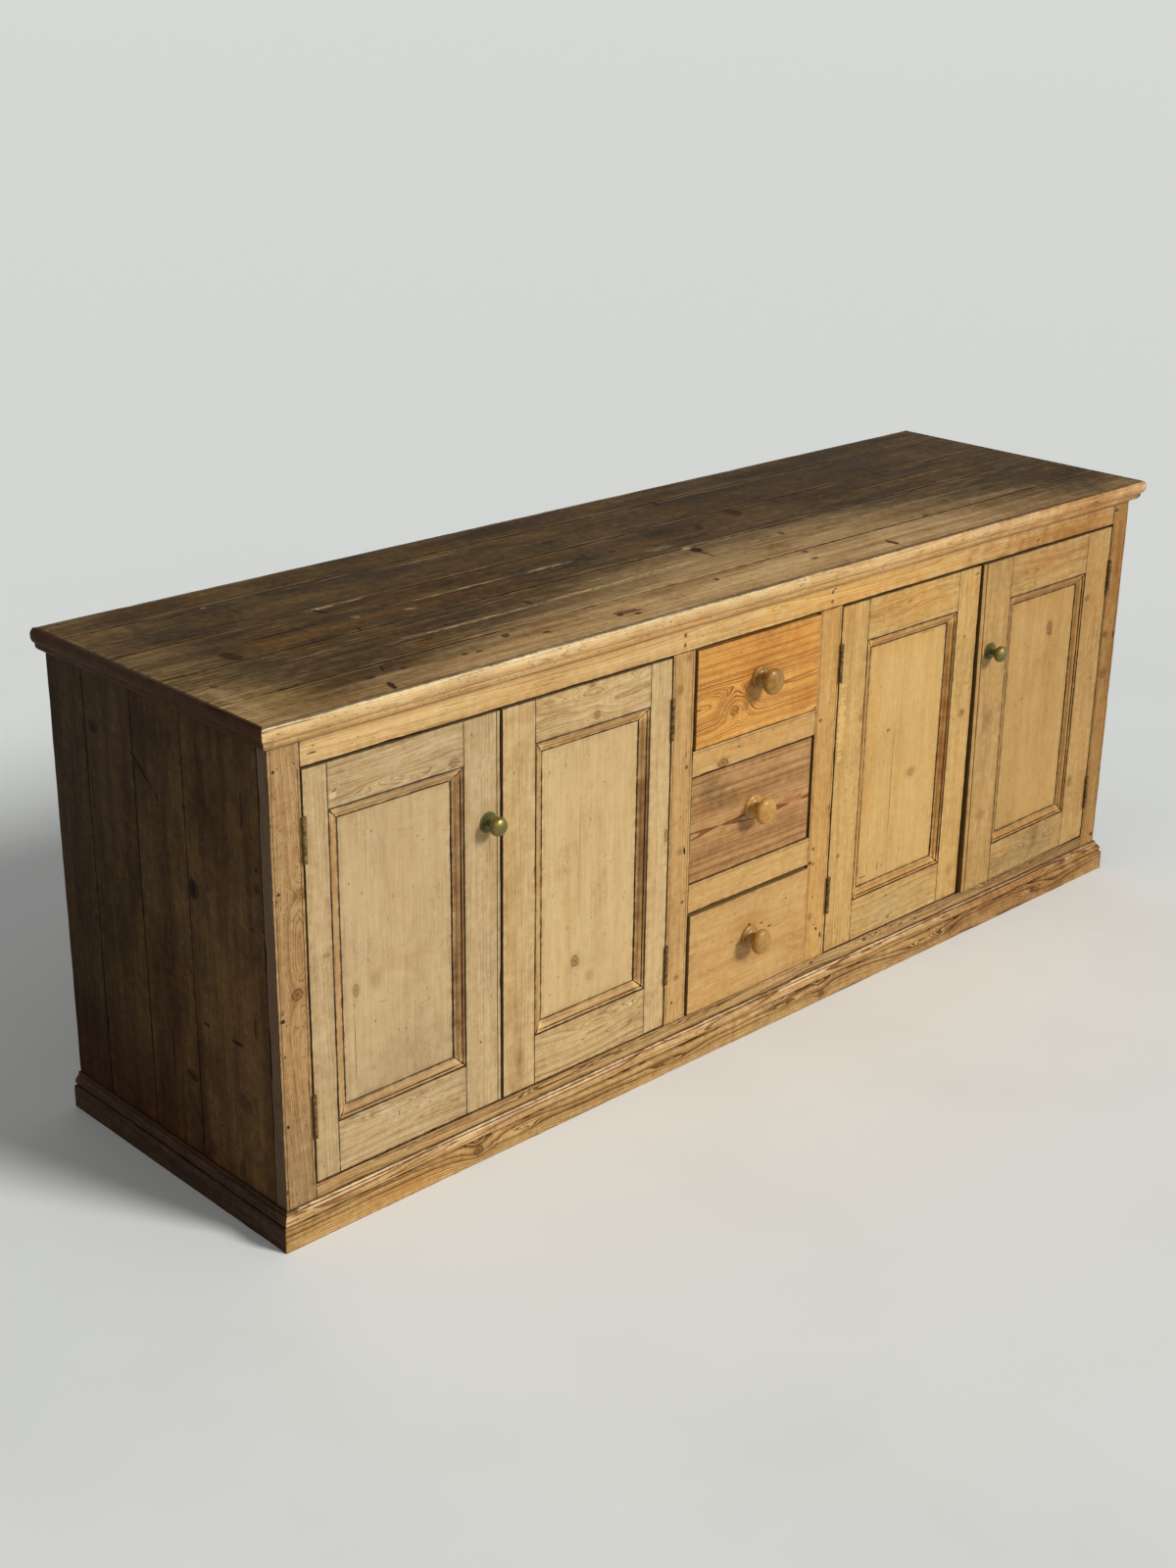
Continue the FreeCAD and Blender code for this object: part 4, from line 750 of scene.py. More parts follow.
def knots(net, place, face, name):
    """A node's knots and eyes, as a chain: its bend, its hearts and the distance of the nearest knot."""
    rough = net.about(net.noise(place, 95.0, 1), 1.0, 0.5)
    easy = net.about(net.noise(place, 28.0, 1), 1.0, 0.35)
    bend, heart, near = 0.0, 0.0, NO_KNOT
    chain = [(*row, KNOT_SPREAD) for row in KNOTS.get(name, [])]
    chain += [(u, v, ru, rv, 0.0, push, 1.0) for u, v, ru, rv, push in EYES.get(name, [])]
    for u, v, ru, rv, dark, push, spread in chain:
        made = net.add("ShaderNodeGroup", {
            "Place": place, "Centre": spot(face, u, v), "Radii": extent(face, ru, rv, KNOT_DEPTH),
            "Rough": rough if dark else easy, "Spread": spread, "Push": push * MM, "Strength": dark,
            "Distance": near if dark else NO_KNOT, "Bend": bend, "Heart": heart,
        }, node_tree=group("knot")).outputs
        bend, heart = made["Bend"], made["Heart"]
        if dark:
            near = made["Distance"]
    return bend, heart, near


def old_pine(name, colour, figure, face="front", factors=(1, 1, 1), joint_width=1.1, sheen=0.25,
             across=None, late=(0.70, 0.60, 0.46), stain=(0.90, 0.84, 0.74), ends=None, worn=None,
             wax=None, hidden=None, rubbed=None, tints=(), **look):
    """A material of old pine for one node, with that node's own knots, eyes, marks and stains, and the painted
    shade and painted highlights that some callers add.
    """
    material, net, shader = new_material(name)
    place = net.add("ShaderNodeTexCoord").outputs["Object"]
    first, second, _, normal = (Vector(part) for part in FACES[face])
    ragged = net.noise(place, 210.0, 2)
    soft = net.noise(place, 24.0, 3, 0.6)
    torn = net.noise(net.vector("MULTIPLY", place, first * 30 + second * 170 + normal), 1, 3, 0.7)
    bend, heart, near = knots(net, place, face, name)

    base = paint(colour, factors)
    own = [c * f for c, f in zip(getattr(bpy.context.scene.sideboard_colours, colour), factors)]
    # The worn callback gives wear on the top, painted highlights and painted shade on the nosing and base
    # moulding, and a graded tone on the sides
    pale = worn(net, place, base, soft) if worn else base
    for *shape, tint in [*TINTS.get(name, []), *tints]:
        share = marks(net, place, face, [shape], soft, 1.8, TINT_DEPTH, 0.1)
        pale = net.mix(share, pale, linear([min(1, c * f) for c, f in zip(own, tint)]))
    rubbed = rubbed or linear([min(1, c * 1.12 + 0.03) for c in own])
    # Painted shade: the returns, whose grain runs front to back, are darkened, and so is their rubbed colour
    if ends:
        shaded_return = net.attribute("turned")
        pale = net.mix(shaded_return, pale, linear([c * f for c, f in zip(own, ends)]))
        rubbed = net.mix(shaded_return, rubbed, linear([c * f * 1.3 for c, f in zip(own, ends)]))

    light = marks(net, place, face, NICKS.get(name, []), torn, 3.4)
    if face == "top":
        light = net.times(light, net.step(torn, 0.40, 0.54, 0.0, 0.9))
        dark = marks(net, place, face, HOLES.get(name, []), torn, 2.6, inner=0.86)
    else:
        dark = marks(net, place, face, HOLES.get(name, []), ragged, 0.9)
    spacing, pith_across, pith_depth, wander, wander_length = FIGURES[figure]
    pine = net.add("ShaderNodeGroup", {
        "Board": net.attribute("board", "Vector"), "Room": net.attribute("room", "Vector"),
        "Seed": net.attribute("seed", "Vector"), "End Gap": net.attribute("end_gap"),
        "Edge": net.attribute("edge"), "Place": place, "Pale": pale,
        "Late": net.mix(1.0, pale, linear(late), "MULTIPLY"),
        "Stain": net.mix(1.0, pale, linear(stain), "MULTIPLY"),
        # Painted shade on the sides of boards is the wax colour unless the caller gives one
        "Rubbed": rubbed, "Wax": wax or paint("wax"), "Hidden": hidden or paint("wax"),
        "Spacing": spacing * MM, "Pith Across": (pith_across if across is None else across) * MM,
        "Pith Depth": pith_depth * MM, "Wander": wander * MM, "Wander Length": wander_length * MM,
        "Joint Width": joint_width * MM, "Bend": bend, "Near": near, "Heart": heart,
        "Dark Mark": dark, "Light Mark": light,
        **{title.capitalize(): value for title, value in {**PLAIN_PINE, **look}.items()},
    }, node_tree=group("pine"))
    connect(net, shader, pine.outputs, 1.0)
    shader["Specular IOR Level"].default_value = sheen
    return material


def metal_group():
    """Old metal: bright where it is rubbed, dull and dark where it isn't."""
    tree, net, given, out = shader_group("old metal", {
        VECTOR: ("Place",), COLOUR: ("Bright", "Dull"), FLOAT: ("Share", "Shine", "Edge"),
    }, {COLOUR: ("Colour",), FLOAT: ("Metal", "Roughness", "Height")})
    patch = net.noise(given["Place"], 140.0, 4, 0.6)
    grit = net.noise(given["Place"], 900.0, 2, 0.6)
    rubbed = net.plus(patch, net.times(given["Edge"], 0.35))
    share = net.times(net.step(rubbed, 0.66, 0.40), given["Share"])
    net.feed(out["Colour"], net.mix(share, given["Bright"], given["Dull"]))
    net.feed(out["Metal"], net.minus(1.0, net.times(share, 0.75)))
    rough = net.plus(given["Shine"], net.times(share, 0.3))
    net.feed(out["Roughness"], net.times_plus(grit, 0.12, rough))
    net.feed(out["Height"], net.times_plus(patch, 0.35, net.times(grit, 0.12)))
    return tree


def old_metal(name, bright, dull, share, shine):
    """A material of old metal, with its bright colour and the film over it."""
    material, net, shader = new_material(name)
    metal = net.add("ShaderNodeGroup", {
        "Place": net.add("ShaderNodeTexCoord").outputs["Object"], "Edge": net.attribute("edge"),
        "Bright": paint(bright), "Dull": paint(dull), "Share": share, "Shine": shine,
    }, node_tree=group("metal"))
    connect(net, shader, metal.outputs, 0.6)
    net.feed(shader["Metallic"], metal.outputs["Metal"])
    return material


# Worn pieces

def solids(node):
    """The node's separate solids, each as a welded mesh with flat faces joined up."""
    mesh = frame["nodes"][node].data
    keys = [tuple(round(c / WELD / 2) for c in vertex.co) for vertex in mesh.vertices]
    runs, run, unpaired = [], [], {}
    for polygon in mesh.polygons:
        corners = [keys[i] for i in polygon.vertices]
        run.append(polygon)
        for pair in zip(corners, corners[1:] + corners[:1]):
            back = (pair[1], pair[0])
            if unpaired.get(back):
                unpaired[back] -= 1
                if not unpaired[back]:
                    del unpaired[back]
            else:
                unpaired[pair] = unpaired.get(pair, 0) + 1
        if not unpaired:
            runs.append(run)
            run = []
    if run:
        runs.append(run)
    for run in runs:
        solid = bmesh.new()
        for polygon in run:
            solid.faces.new([solid.verts.new(mesh.vertices[i].co) for i in polygon.vertices])
        bmesh.ops.remove_doubles(solid, verts=solid.verts[:], dist=WELD)
        yield solid


def box_of(places):
    """The lowest and the highest corner of some places."""
    return [[pick(place[i] for place in places) for i in range(3)] for pick in (min, max)]


def broad_face(solid):
    """The widest flat side: its axis, and the lowest and highest corner of its faces."""
    areas = {}
    for f in solid.faces:
        axis = max(range(3), key=lambda i: abs(f.normal[i]))
        if abs(f.normal[axis]) > SQUARE:
            key = (axis, round(f.verts[0].co[axis], 4))
            areas[key] = areas.get(key, 0) + f.calc_area()
    if not areas:
        return None
    axis, level = max(sorted(areas), key=lambda k: round(areas[k], 7))
    spots = [v.co for f in solid.faces if abs(f.normal[axis]) > SQUARE
             and abs(f.verts[0].co[axis] - level) < SAME_LEVEL for v in f.verts]
    return axis, *box_of(spots)


def outer_edges(solid, low, high):
    """Sharp edges that lie on two sides of the solid's box."""
    chosen = []
    for e in solid.edges:
        if len(e.link_faces) != 2 or e.calc_face_angle(0) < SHARP:
            continue
        sides = [(i, side) for i in range(3) for side in (low[i], high[i])
                 if all(abs(v.co[i] - side) < SAME_SIDE for v in e.verts)]
        if len(sides) >= 2:
            chosen.append(e)
    return chosen


def curvature(solid):
    """For each point of a moulding: minus in a crevice, plus on a crest."""
    signs = {}
    for v in solid.verts:
        total = 0
        for e in v.link_edges:
            if len(e.link_faces) == 2:
                total += e.calc_face_angle_signed(0)
        signs[v] = max(-1.0, min(1.0, total * 0.9))
    spread = {}
    for v in solid.verts:
        lowest = min([signs[e.other_vert(v)] for e in v.link_edges], default=0.0)
        spread[v] = min(signs[v], 0.5 * lowest) if lowest < -0.3 else signs[v]
    return spread


def divide(solid, axis, low, high, pitch):
    """Cuts across a solid at an even pitch, so that its edges have points to wear."""
    length = high - low
    cuts = max(2, round(length / pitch))
    normal = Vector((0, 0, 0))
    normal[axis] = 1
    for cut in range(1, cuts):
        where = Vector((0, 0, 0))
        where[axis] = low + length * cut / cuts
        bmesh.ops.bisect_plane(solid, geom=solid.verts[:] + solid.edges[:] + solid.faces[:],
                               plane_co=where, plane_no=normal, dist=1e-6)


class Board:
    """One solid's box, its visible face, and its axes: along the grain, across it and through it."""

    def __init__(self, solid, along, moulded, window):
        self.moulded = moulded
        self.low, self.high = box_of([v.co for v in solid.verts])
        through, face_low, face_high = broad_face(solid) or (1, self.low, self.high)
        if moulded:
            face_low, face_high = self.low, self.high
        if window:
            face_low = [max(a, b) for a, b in zip(face_low, window[0])]
            face_high = [min(a, b) for a, b in zip(face_high, window[1])]
        flat = [i for i in range(3) if i != through]
        grain = along if along is not None else max(flat, key=lambda i: face_high[i] - face_low[i])
        if grain == through:
            through = flat[0]
        width = next(i for i in range(3) if i not in (grain, through))
        self.axes = grain, width, through
        self.ends = face_low[grain], face_high[grain]
        self.middle = [(a + b) / 2 for a, b in zip(face_low, face_high)]
        self.half = [(b - a) / 2 for a, b in zip(face_low, face_high)]
        self.middle[through] = (self.low[through] + self.high[through]) / 2
        self.half[through] = (self.high[through] - self.low[through]) / 2
        self.runs = {}
        if moulded:
            for v in solid.verts:
                line, here = self.line(v.co), v.co[grain]
                first, last = self.runs.get(line, (here, here))
                self.runs[line] = min(first, here), max(last, here)

    def line(self, co):
        """The line along the grain that a point lies on."""
        return tuple(round(co[axis], 5) for axis in self.axes[1:])

    def end_gap(self, co):
        """How far a point is from the nearer end, which is its own line's where the ends are mitred."""
        first, last = self.runs.get(self.line(co), self.ends)
        here = co[self.axes[0]]
        return min(here - first, last - here)

    def rubbed(self, co, phase, reach):
        """Where a point of an edge goes once it is rubbed away, in a slow and a fast swing."""
        grain, width, through = self.axes

        def swing(waves, first, second):
            along, across = waves
            return noise.noise(Vector((co[grain] * along, first + co[width] * across,
                                       second + co[through] * across)))

        slow = swing(SLOW_SWING, phase.x, phase.y)
        fast = swing(FAST_SWING, phase.y, phase.z)
        amount = max(0.0, 0.25 + 0.5 * slow + 0.55 * fast) * reach
        if fast > 0.45:
            amount *= 1.7
        axes, limit = (self.axes[1:], NEAR_MOULDED_EDGE) if self.moulded else (self.axes, NEAR_EDGE)
        near = [i for i in axes if min(abs(co[i] - self.low[i]), abs(co[i] - self.high[i])) < limit]
        place = co.copy()
        if len(near) > 1:
            for i in near:
                place[i] -= math.copysign(amount, co[i] - (self.low[i] + self.high[i]) / 2)
        return place


def dress(node, material, slot, pitch=1.0, arris=1.0, wear=1.0, along=None, moulded=False, bend=None,
          smooth=30, tidy=True, window=None, turn=None):
    """The node's solids as one piece with worn edges and each board's own coordinates.

    A window is the lowest and highest corner of what shows of a panel's front, and how much
    more of it shows behind. A turn is a hinge and the angle at which the piece stands about it.
    """
    size = sizes()
    points, faces = [], []
    layers = {title: [] for title in ("board", "room", "seed", "end_gap", "turned", "edge")}
    for number, solid in enumerate(solids(node)):
        if turn:
            back = Matrix.Rotation(-turn[1], 3, "Z")
            bmesh.ops.rotate(solid, cent=turn[0], matrix=back, verts=solid.verts[:])
        if tidy:
            bmesh.ops.dissolve_limit(solid, angle_limit=0.004, verts=solid.verts[:], edges=solid.edges[:])
        solid.normal_update()
        board = Board(solid, along, moulded, window)
        grain = board.axes[0]
        eased = []
        edges = outer_edges(solid, board.low, board.high) if arris else []
        if edges:
            eased = bmesh.ops.bevel(solid, geom=edges, offset=size.arris * arris, segments=2,
                                    profile=0.5, affect="EDGES", clamp_overlap=True)["faces"]
        edge_mark = solid.faces.layers.int.new("edge")
        for f in eased:
            if f.is_valid:
                f[edge_mark] = 1
        if pitch:
            divide(solid, grain, board.low[grain], board.high[grain], size.pitch * pitch)
        solid.normal_update()
        signs = curvature(solid) if moulded else {}
        draw = random.Random(node + str(number))
        seed = [draw.uniform(-40, 40) for _ in range(3)]
        solid.verts.index_update()
        start = len(points)
        for v in solid.verts:
            more = window[2] if window and v.co.y > board.middle[1] else 0.0
            place = board.rubbed(v.co, Vector(seed), size.wear * wear) if wear else v.co.copy()
            if bend:
                place = bend(place)
            if turn:
                place = turn[0] + Matrix.Rotation(turn[1], 3, "Z") @ (place - turn[0])
            points.append(place)
            long, wide, thick = (board.half[i] for i in board.axes)
            layers["board"].append([v.co[i] - board.middle[i] for i in board.axes])
            layers["room"].append((long, wide + more, thick))
            layers["seed"].append(seed)
            layers["end_gap"].append(max(0.0, board.end_gap(v.co) + more))
            # Grain running front to back marks a return, which old_pine can darken with painted shade
            layers["turned"].append(float(grain == 1))
            if moulded:
                layers["edge"].append(signs[v])
        for f in solid.faces:
            faces.append([start + v.index for v in f.verts])
            if not moulded:
                layers["edge"].append(float(f[edge_mark]))
        solid.free()

    mesh = bpy.data.meshes.new(node)
    mesh.from_pydata(points, [], faces)
    for title, rows in layers.items():
        domain = "FACE" if title == "edge" and not moulded else "POINT"
        if title in ("board", "room", "seed"):
            layer = mesh.attributes.new(title, "FLOAT_VECTOR", domain)
            layer.data.foreach_set("vector", [c for row in rows for c in row])
        else:
            mesh.attributes.new(title, "FLOAT", domain).data.foreach_set("value", rows)
    mesh.materials.append(material)
    finish_piece(node, mesh, slot, smooth)


def finish_piece(node, mesh, slot, smooth):
    """Links a mesh as the finished piece that stands for a CAD node and rides on its body."""
    name = node + "_worn"
    mesh.polygons.foreach_set("use_smooth", [True] * len(mesh.polygons))
    mesh.set_sharp_from_angle(angle=math.radians(smooth))
    piece = bpy.data.objects.new(name, mesh)
    bpy.context.scene.collection.objects.link(piece)
    weigh = piece.modifiers.new("normals", "WEIGHTED_NORMAL")
    weigh.keep_sharp = True
    bpy.context.view_layer.update()
    graph = bpy.context.evaluated_depsgraph_get()
    settled = bpy.data.meshes.new_from_object(piece.evaluated_get(graph), preserve_all_data_layers=True,
                                              depsgraph=graph)
    piece.modifiers.clear()
    piece.data = settled
    settled.name = name
    bpy.data.meshes.remove(mesh)
    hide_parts(node)
    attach(piece, body_of[node])


def coat(node, material):
    """A CAD node keeps its shape and gets a material."""
    data = frame["nodes"][node].data
    data.materials.clear()
    data.materials.append(material)


# Operators

class Maker(bpy.types.Operator):
    """What the sideboard's operators have in common"""
    bl_options = {"REGISTER", "UNDO"}


class SIDEBOARD_OT_top(Maker):
    """Five long boards, dark with wax at the back and rubbed pale along the front"""
    bl_idname = "sideboard.top"
    bl_label = "Top boards"

    def execute(self, context):
        def worn(net, place, base, soft):
            x, y, _ = net.split(place)
            depth = net.minus(y, Y_FRONT)
            bands = net.noise(net.stretched((x, y, 0.0), (2.2, 26.0, 0.0), (3.0, 7.0, 0.0)), 1, 4, 0.6)
            scuffs = net.noise(net.stretched((x, y, 0.0), (9.0, 170.0, 0.0), (1.0, 4.0, 0.0)), 1, 4, 0.65)
            swung = net.times_plus(net.minus(bands, 0.5), -0.16, depth)
            reach = net.times(net.step(x, -0.95, 0.05, 0.09, 0.34), net.step(x, 1.1, 0.3, 0.35, 1.0))
            front = net.step(net.over(swung, reach), 1.0, 0.0)
            front = net.times(front, net.step(x, 1.1, 0.25, 0.35, 0.95))
            front = net.times(front, net.step(x, -1.0, -0.4, 0.6, 1.0))
            left = net.step(net.times_plus(bands, 0.16, x), X_LEFT + 0.26, X_LEFT + 0.05, 0.0, 0.8)
            left = net.times(left, net.step(scuffs, 0.38, 0.54, 0.25, 1.0))
            left = net.times(left, net.step(depth, 0.24, 0.04, 0.2, 1.0))
            rub = net.times(net.step(scuffs, 0.50, 0.68), net.step(bands, 0.38, 0.62, 0.08, 0.40))
            rub = net.times(rub, net.step(depth, 0.50, 0.15, 0.3, 1.0))
            share = net.plus(net.most(front, left), rub)
            murk = net.noise(net.stretched((x, y, 0.0), (4.6, 15.0, 0.0), (8.0, 2.0, 0.0)), 1, 5, 0.65)
            dark = net.mix(net.step(murk, 0.50, 0.62, 0.0, 0.9), base, paint("top", (0.64, 0.58, 0.46)))
            dark = net.mix(net.step(murk, 0.46, 0.36, 0.0, 0.8), dark, paint("top", (1.28, 1.25, 1.14)))
            return net.mix(net.least(share, 0.95), dark, paint("top_worn", (1.10, 1.10, 1.08)))

        material = old_pine("top_boards", "top", "quiet", face="top", across=150, contrast=0.8, mottle=0.9,
                            cloud=0.3, stain=(0.74, 0.66, 0.56), uneven=0.35, specks=0.9, scuff=0.2,
                            fill=0.85, flecks=0.6, fibre=0.35, joint=1.0, joint_width=2.6, wear=0.0,
                            grime=0.4, sheen=0.03, rubbed=paint("top_worn"), worn=worn)
        dress("top_boards", material, "top_wood", wear=0.5)
        return {"FINISHED"}


class SIDEBOARD_OT_nosing(Maker):
    """The mitred moulding round the edge of the top"""
    bl_idname = "sideboard.nosing"
    bl_label = "Top edge"

    def execute(self, context):
        # Painted highlight along the top of the nosing, fading towards the right, and painted shade on its
        # underside
        def crest(net, place, base, soft):
            x, _, z = net.split(place)
            low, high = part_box("top_nosing")
            height = net.times_plus(soft, 8 * MM, z)
            share = net.step(height, high.z - 11 * MM, high.z)
            share = net.times(share, net.step(x, 0.7, -0.6, 0.35, 1.0))
            painted_underside_shade = net.mix(net.step(height, low.z + 30 * MM, low.z + 12 * MM, 0.0, 0.5), base,
                            paint("nosing", (0.88, 0.80, 0.68)))
            return net.mix(share, painted_underside_shade, paint("nosing", (1.10, 1.18, 1.30)))

        # Its worn colour is the painted highlight and shade above, and its ends darken the returns with painted
        # shade
        material = old_pine("top_nosing", "nosing", "cathedral", contrast=0.8, mottle=0.6, cloud=0.2,
                            uneven=0.2, flecks=0.9, gloss=0.12, joint=0.8, joint_width=1.8, flat=0.0,
                            wear=0.5, grime=0.2, sheen=0.05, ends=(0.30, 0.215, 0.10), worn=crest)
        dress("top_nosing", material, "edge_wood", arris=0, wear=1.3, moulded=True)
        return {"FINISHED"}


class SIDEBOARD_OT_face_frame(Maker):
    """The uprights, rails and pegs of the front"""
    bl_idname = "sideboard.face_frame"
    bl_label = "Face frame"

    def execute(self, context):
        # Painted shade on the sides of the frame pieces, in the colour of the end boards
        hidden = paint("side", (0.66, 0.54, 0.38))
        for node, colour, figure, factors, look in (
            ("corner_stile_left", "frame", "cathedral", (0.95, 0.96, 1.0),
             dict(contrast=1.0, flecks=1.0, mottle=0.5, across=22)),
            ("corner_stile_right", "frame", "straight", (0.88, 0.835, 0.68), dict(contrast=0.6, mottle=0.7)),
            ("muntin_left", "frame", "straight", (1.05, 1.06, 1.04), dict(contrast=0.45, flecks=0.3)),
            ("muntin_right", "frame", "straight", (1.06, 1.03, 0.92), dict(contrast=0.3, flecks=0.2)),
            ("top_rail", "rail", "straight", (1.07, 1.12, 1.20), dict(contrast=0.9, mottle=0.6, across=60)),
            ("bottom_rail", "base", "wavy", (1.04, 1.08, 1.15),
             dict(contrast=1.9, mottle=0.3, across=-26, late=(0.52, 0.42, 0.31))),
            ("drawer_rails", "rail", "straight", (1.0, 1.0, 0.98), dict(contrast=0.3)),
            ("frame_pegs", "frame", "straight", (0.74, 0.68, 0.6), dict(joint=0.0)),
        ):
            material = old_pine(node, colour, figure, factors=factors, sides=0.85, sheen=0.2, hidden=hidden,
                                **look)
            dress(node, material, "frame_wood")
        return {"FINISHED"}


class SIDEBOARD_OT_sides(Maker):
    """The dark upright boards of the two ends"""
    bl_idname = "sideboard.sides"
    bl_label = "Sides"

    def execute(self, context):
        # Murk and pale blots, darker towards the back, darker still low at the back, a little darker towards the
        # head, and paler low at the front
        def grimed(net, place, base, soft):
            _, y, z = net.split(place)
            murk = net.noise(net.stretched((0.0, y, z), (0.0, 13.0, 4.6), (1.0, 5.0, 2.0)), 1, 5, 0.65)
            blots = net.noise(net.vector("ADD", place, (3.0, 7.0, 1.0)), 13.0, 5, 0.7)
            dark = net.mix(net.step(murk, 0.48, 0.64, 0.0, 0.75), base, paint("side", (0.72, 0.62, 0.52)))
            dark = net.mix(net.step(blots, 0.46, 0.66, 0.0, 0.55), dark, paint("side", (1.20, 1.20, 1.10)))
            depth = net.minus(y, Y_FRONT)
            far = net.step(depth, 0.10, 0.60)
            low = net.step(z, 0.34, 0.08)
            dark = net.mix(net.times(far, 0.75), dark, paint("side", (0.56, 0.50, 0.36)))
            dark = net.mix(net.times(net.times(low, far), 0.75), dark,
                           paint("side", (0.36, 0.24, 0.12)))
            dark = net.mix(net.step(z, 0.60, 0.85, 0.0, 0.35), dark, paint("side", (0.66, 0.60, 0.50)))
            pale = net.times(net.step(depth, 0.20, 0.02), net.step(z, 0.60, 0.15))
            return net.mix(net.times(pale, 0.6), dark, paint("side", (1.26, 1.26, 1.30)))

        for node in ("side_boards_left", "side_boards_right"):
            material = old_pine(node, "side", "cathedral", face="left", mottle=0.7, cloud=0.5, fibre=0.2,
                                stain=(0.62, 0.50, 0.42), uneven=0.25, specks=0.9, fill=0.9, flecks=0.7,
                                joint=0.8, joint_width=1.4, wear=0.3, sheen=0.05,
                                wax=paint("wax", (0.50, 0.46, 0.40)), worn=grimed)
            dress(node, material, "side_wood", along=2)
        return {"FINISHED"}


class SIDEBOARD_OT_inside(Maker):
    """Back, floor, partitions, shelves, runners and battens, in bare pine"""
    bl_idname = "sideboard.inside"
    bl_label = "Inside and back"

    def execute(self, context):
        for node, colour, factors, along in (
            ("back_boards", "back", (1, 1, 1), 2),
            ("floor_boards", "inside", (0.92, 0.9, 0.88), 0),
            ("partition_boards", "inside", (1, 1, 1), 2),
            ("drawer_runners", "inside", (0.95, 0.93, 0.9), None),
            ("shelves", "inside", (1.02, 1.0, 0.98), 0),
            ("battens", "inside", (0.9, 0.88, 0.84), None),
        ):
            material = old_pine(node, colour, "cathedral", factors=factors, contrast=0.55, mottle=0.6,
                                cloud=0.4, flecks=0.4, joint=0.85, joint_width=1.3, wear=0.3, grime=0.4,
                                sheen=0.3)
            dress(node, material, "inside_wood", pitch=3, along=along)
        return {"FINISHED"}


class SIDEBOARD_OT_base(Maker):
    """The plinth and the moulding above it"""
    bl_idname = "sideboard.base"
    bl_label = "Base"

    def execute(self, context):
        # Painted shade on the returns of the plinth and the base moulding
        ends = (0.34, 0.27, 0.19)
        material = old_pine("plinth_boards", "base", "wavy", factors=(1.06, 1.11, 1.15), across=-38,
                            contrast=2.2, ripple=1.3, mottle=0.45, cloud=0.1, flecks=0.4, uneven=0.4,
                            fibre=0.3, joint=0.6, wear=0.8, grime=0.3, late=(0.52, 0.41, 0.29),
                            sheen=0.12, ends=ends)
        dress("plinth_boards", material, "base_wood", wear=0.7)
        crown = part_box("base_moulding")[1].z

        # Painted highlight along the crest of the base moulding
        def bead(net, place, base, soft):
            height = net.times_plus(soft, 4 * MM, net.split(place)[2])
            share = net.times(net.step(height, crown - 9 * MM, crown - 5 * MM),
                              net.step(height, crown + 3 * MM, crown))
            return net.mix(net.times(share, 0.8), base, paint("base", (1.28, 1.44, 1.85)))

        # Its worn colour is the painted crest highlight above
        material = old_pine("base_moulding", "base", "cathedral", factors=(1.08, 1.12, 1.18),
                            contrast=1.5, mottle=0.6, cloud=0.2, flecks=0.6, uneven=0.4,
                            joint_width=1.8, flat=0.0, wear=0.8, grime=0.3, late=(0.6, 0.47, 0.32),
                            sheen=0.1, ends=ends, rubbed=paint("base", (1.18, 1.26, 1.46)), worn=bead)
        dress("base_moulding", material, "base_wood", arris=0, moulded=True)
        return {"FINISHED"}


# Each door's tone, the last door darkest and yellowest, as factors of the doors' colour, and how far a panel's
# moulding covers its edge
DOOR_TONES = {
    1: (0.93, 0.935, 0.94), 2: (0.98, 0.975, 0.94), 3: (0.985, 0.935, 0.775), 4: (0.895, 0.83, 0.67),
}
MOULDING_COVER = 21 * MM


class SIDEBOARD_OT_doors(Maker):
    """Four panelled doors, the last of them in wind"""
    bl_idname = "sideboard.doors"
    bl_label = "Doors"

    def execute(self, context):
        size = sizes()
        low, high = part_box("door_4_stiles")

        def wind(place):
            """The last door's twist: away from its hinges the foot stands out and the head stands in."""
            out = (high.x - place.x) / (high.x - low.x)
            down = (high.z - place.z) / (high.z - low.z)
            place.y += out * (size.wind_head - (size.wind_head + size.wind_foot) * down)
            return place

        def shade(box, number):
            """Painted shade down the moulding's right side, which faces away from the light on the first three
            doors.
            """
            if number == 4:
                return []
            middle, reach = (box[1].z + box[0].z) / 2 / MM, (box[1].z - box[0].z) / 2 / MM
            tint = (0.66, 0.56, 0.44) if number < 3 else (0.80, 0.70, 0.52)
            return [(box[1].x / MM - 4, middle, 20, reach + 60, 0, 1, tint)]

        for number, tone in DOOR_TONES.items():
            last = number == 4
            stand = dict(bend=wind if last else None, turn=(LAST_HINGE, LAST_ANGLE) if last else None)
            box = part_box(f"door_{number}_moulding")
            cover = Vector((MOULDING_COVER, -1, MOULDING_COVER))
            window = (box[0] + cover, box[1] - cover, MOULDING_COVER)
            for part, figure, look in (
                ("stiles", "straight", dict(contrast=0.55, mottle=0.35, flecks=0.15)),
                ("rails", "cathedral", dict(contrast=1.0 if number < 3 else 0.8, mottle=0.3, flecks=0.3)),
                ("panel", "quiet", dict(contrast=0.2, uneven=0.14, mottle=0.35, cloud=0.12, fibre=0.26,
                                        joint=1.0, joint_width=2.6, grime=0.5)),
                ("moulding", "straight", dict(
                    factors=[t * f for t, f in zip(tone, (0.94, 0.88, 0.78))], tints=shade(box, number),
                    contrast=0.9, mottle=0.7, flecks=0.4, joint=1.0, joint_width=3.0, flat=0.0, wear=1.2,
                    grime=0.4, gloss=0.12)),
            ):
                node = f"door_{number}_{part}"
                panel, moulded = part == "panel", part == "moulding"
                # The sides of the door pieces get painted shade in the wax colour
                material = old_pine(node, "door", figure, sides=0.8, **{"factors": tone, **look})
                dress(node, material, "door_wood", arris=0 if moulded else 0.8, wear=0.7, moulded=moulded,
                      along=2 if panel else None, window=window if panel else None, **stand)
        return {"FINISHED"}


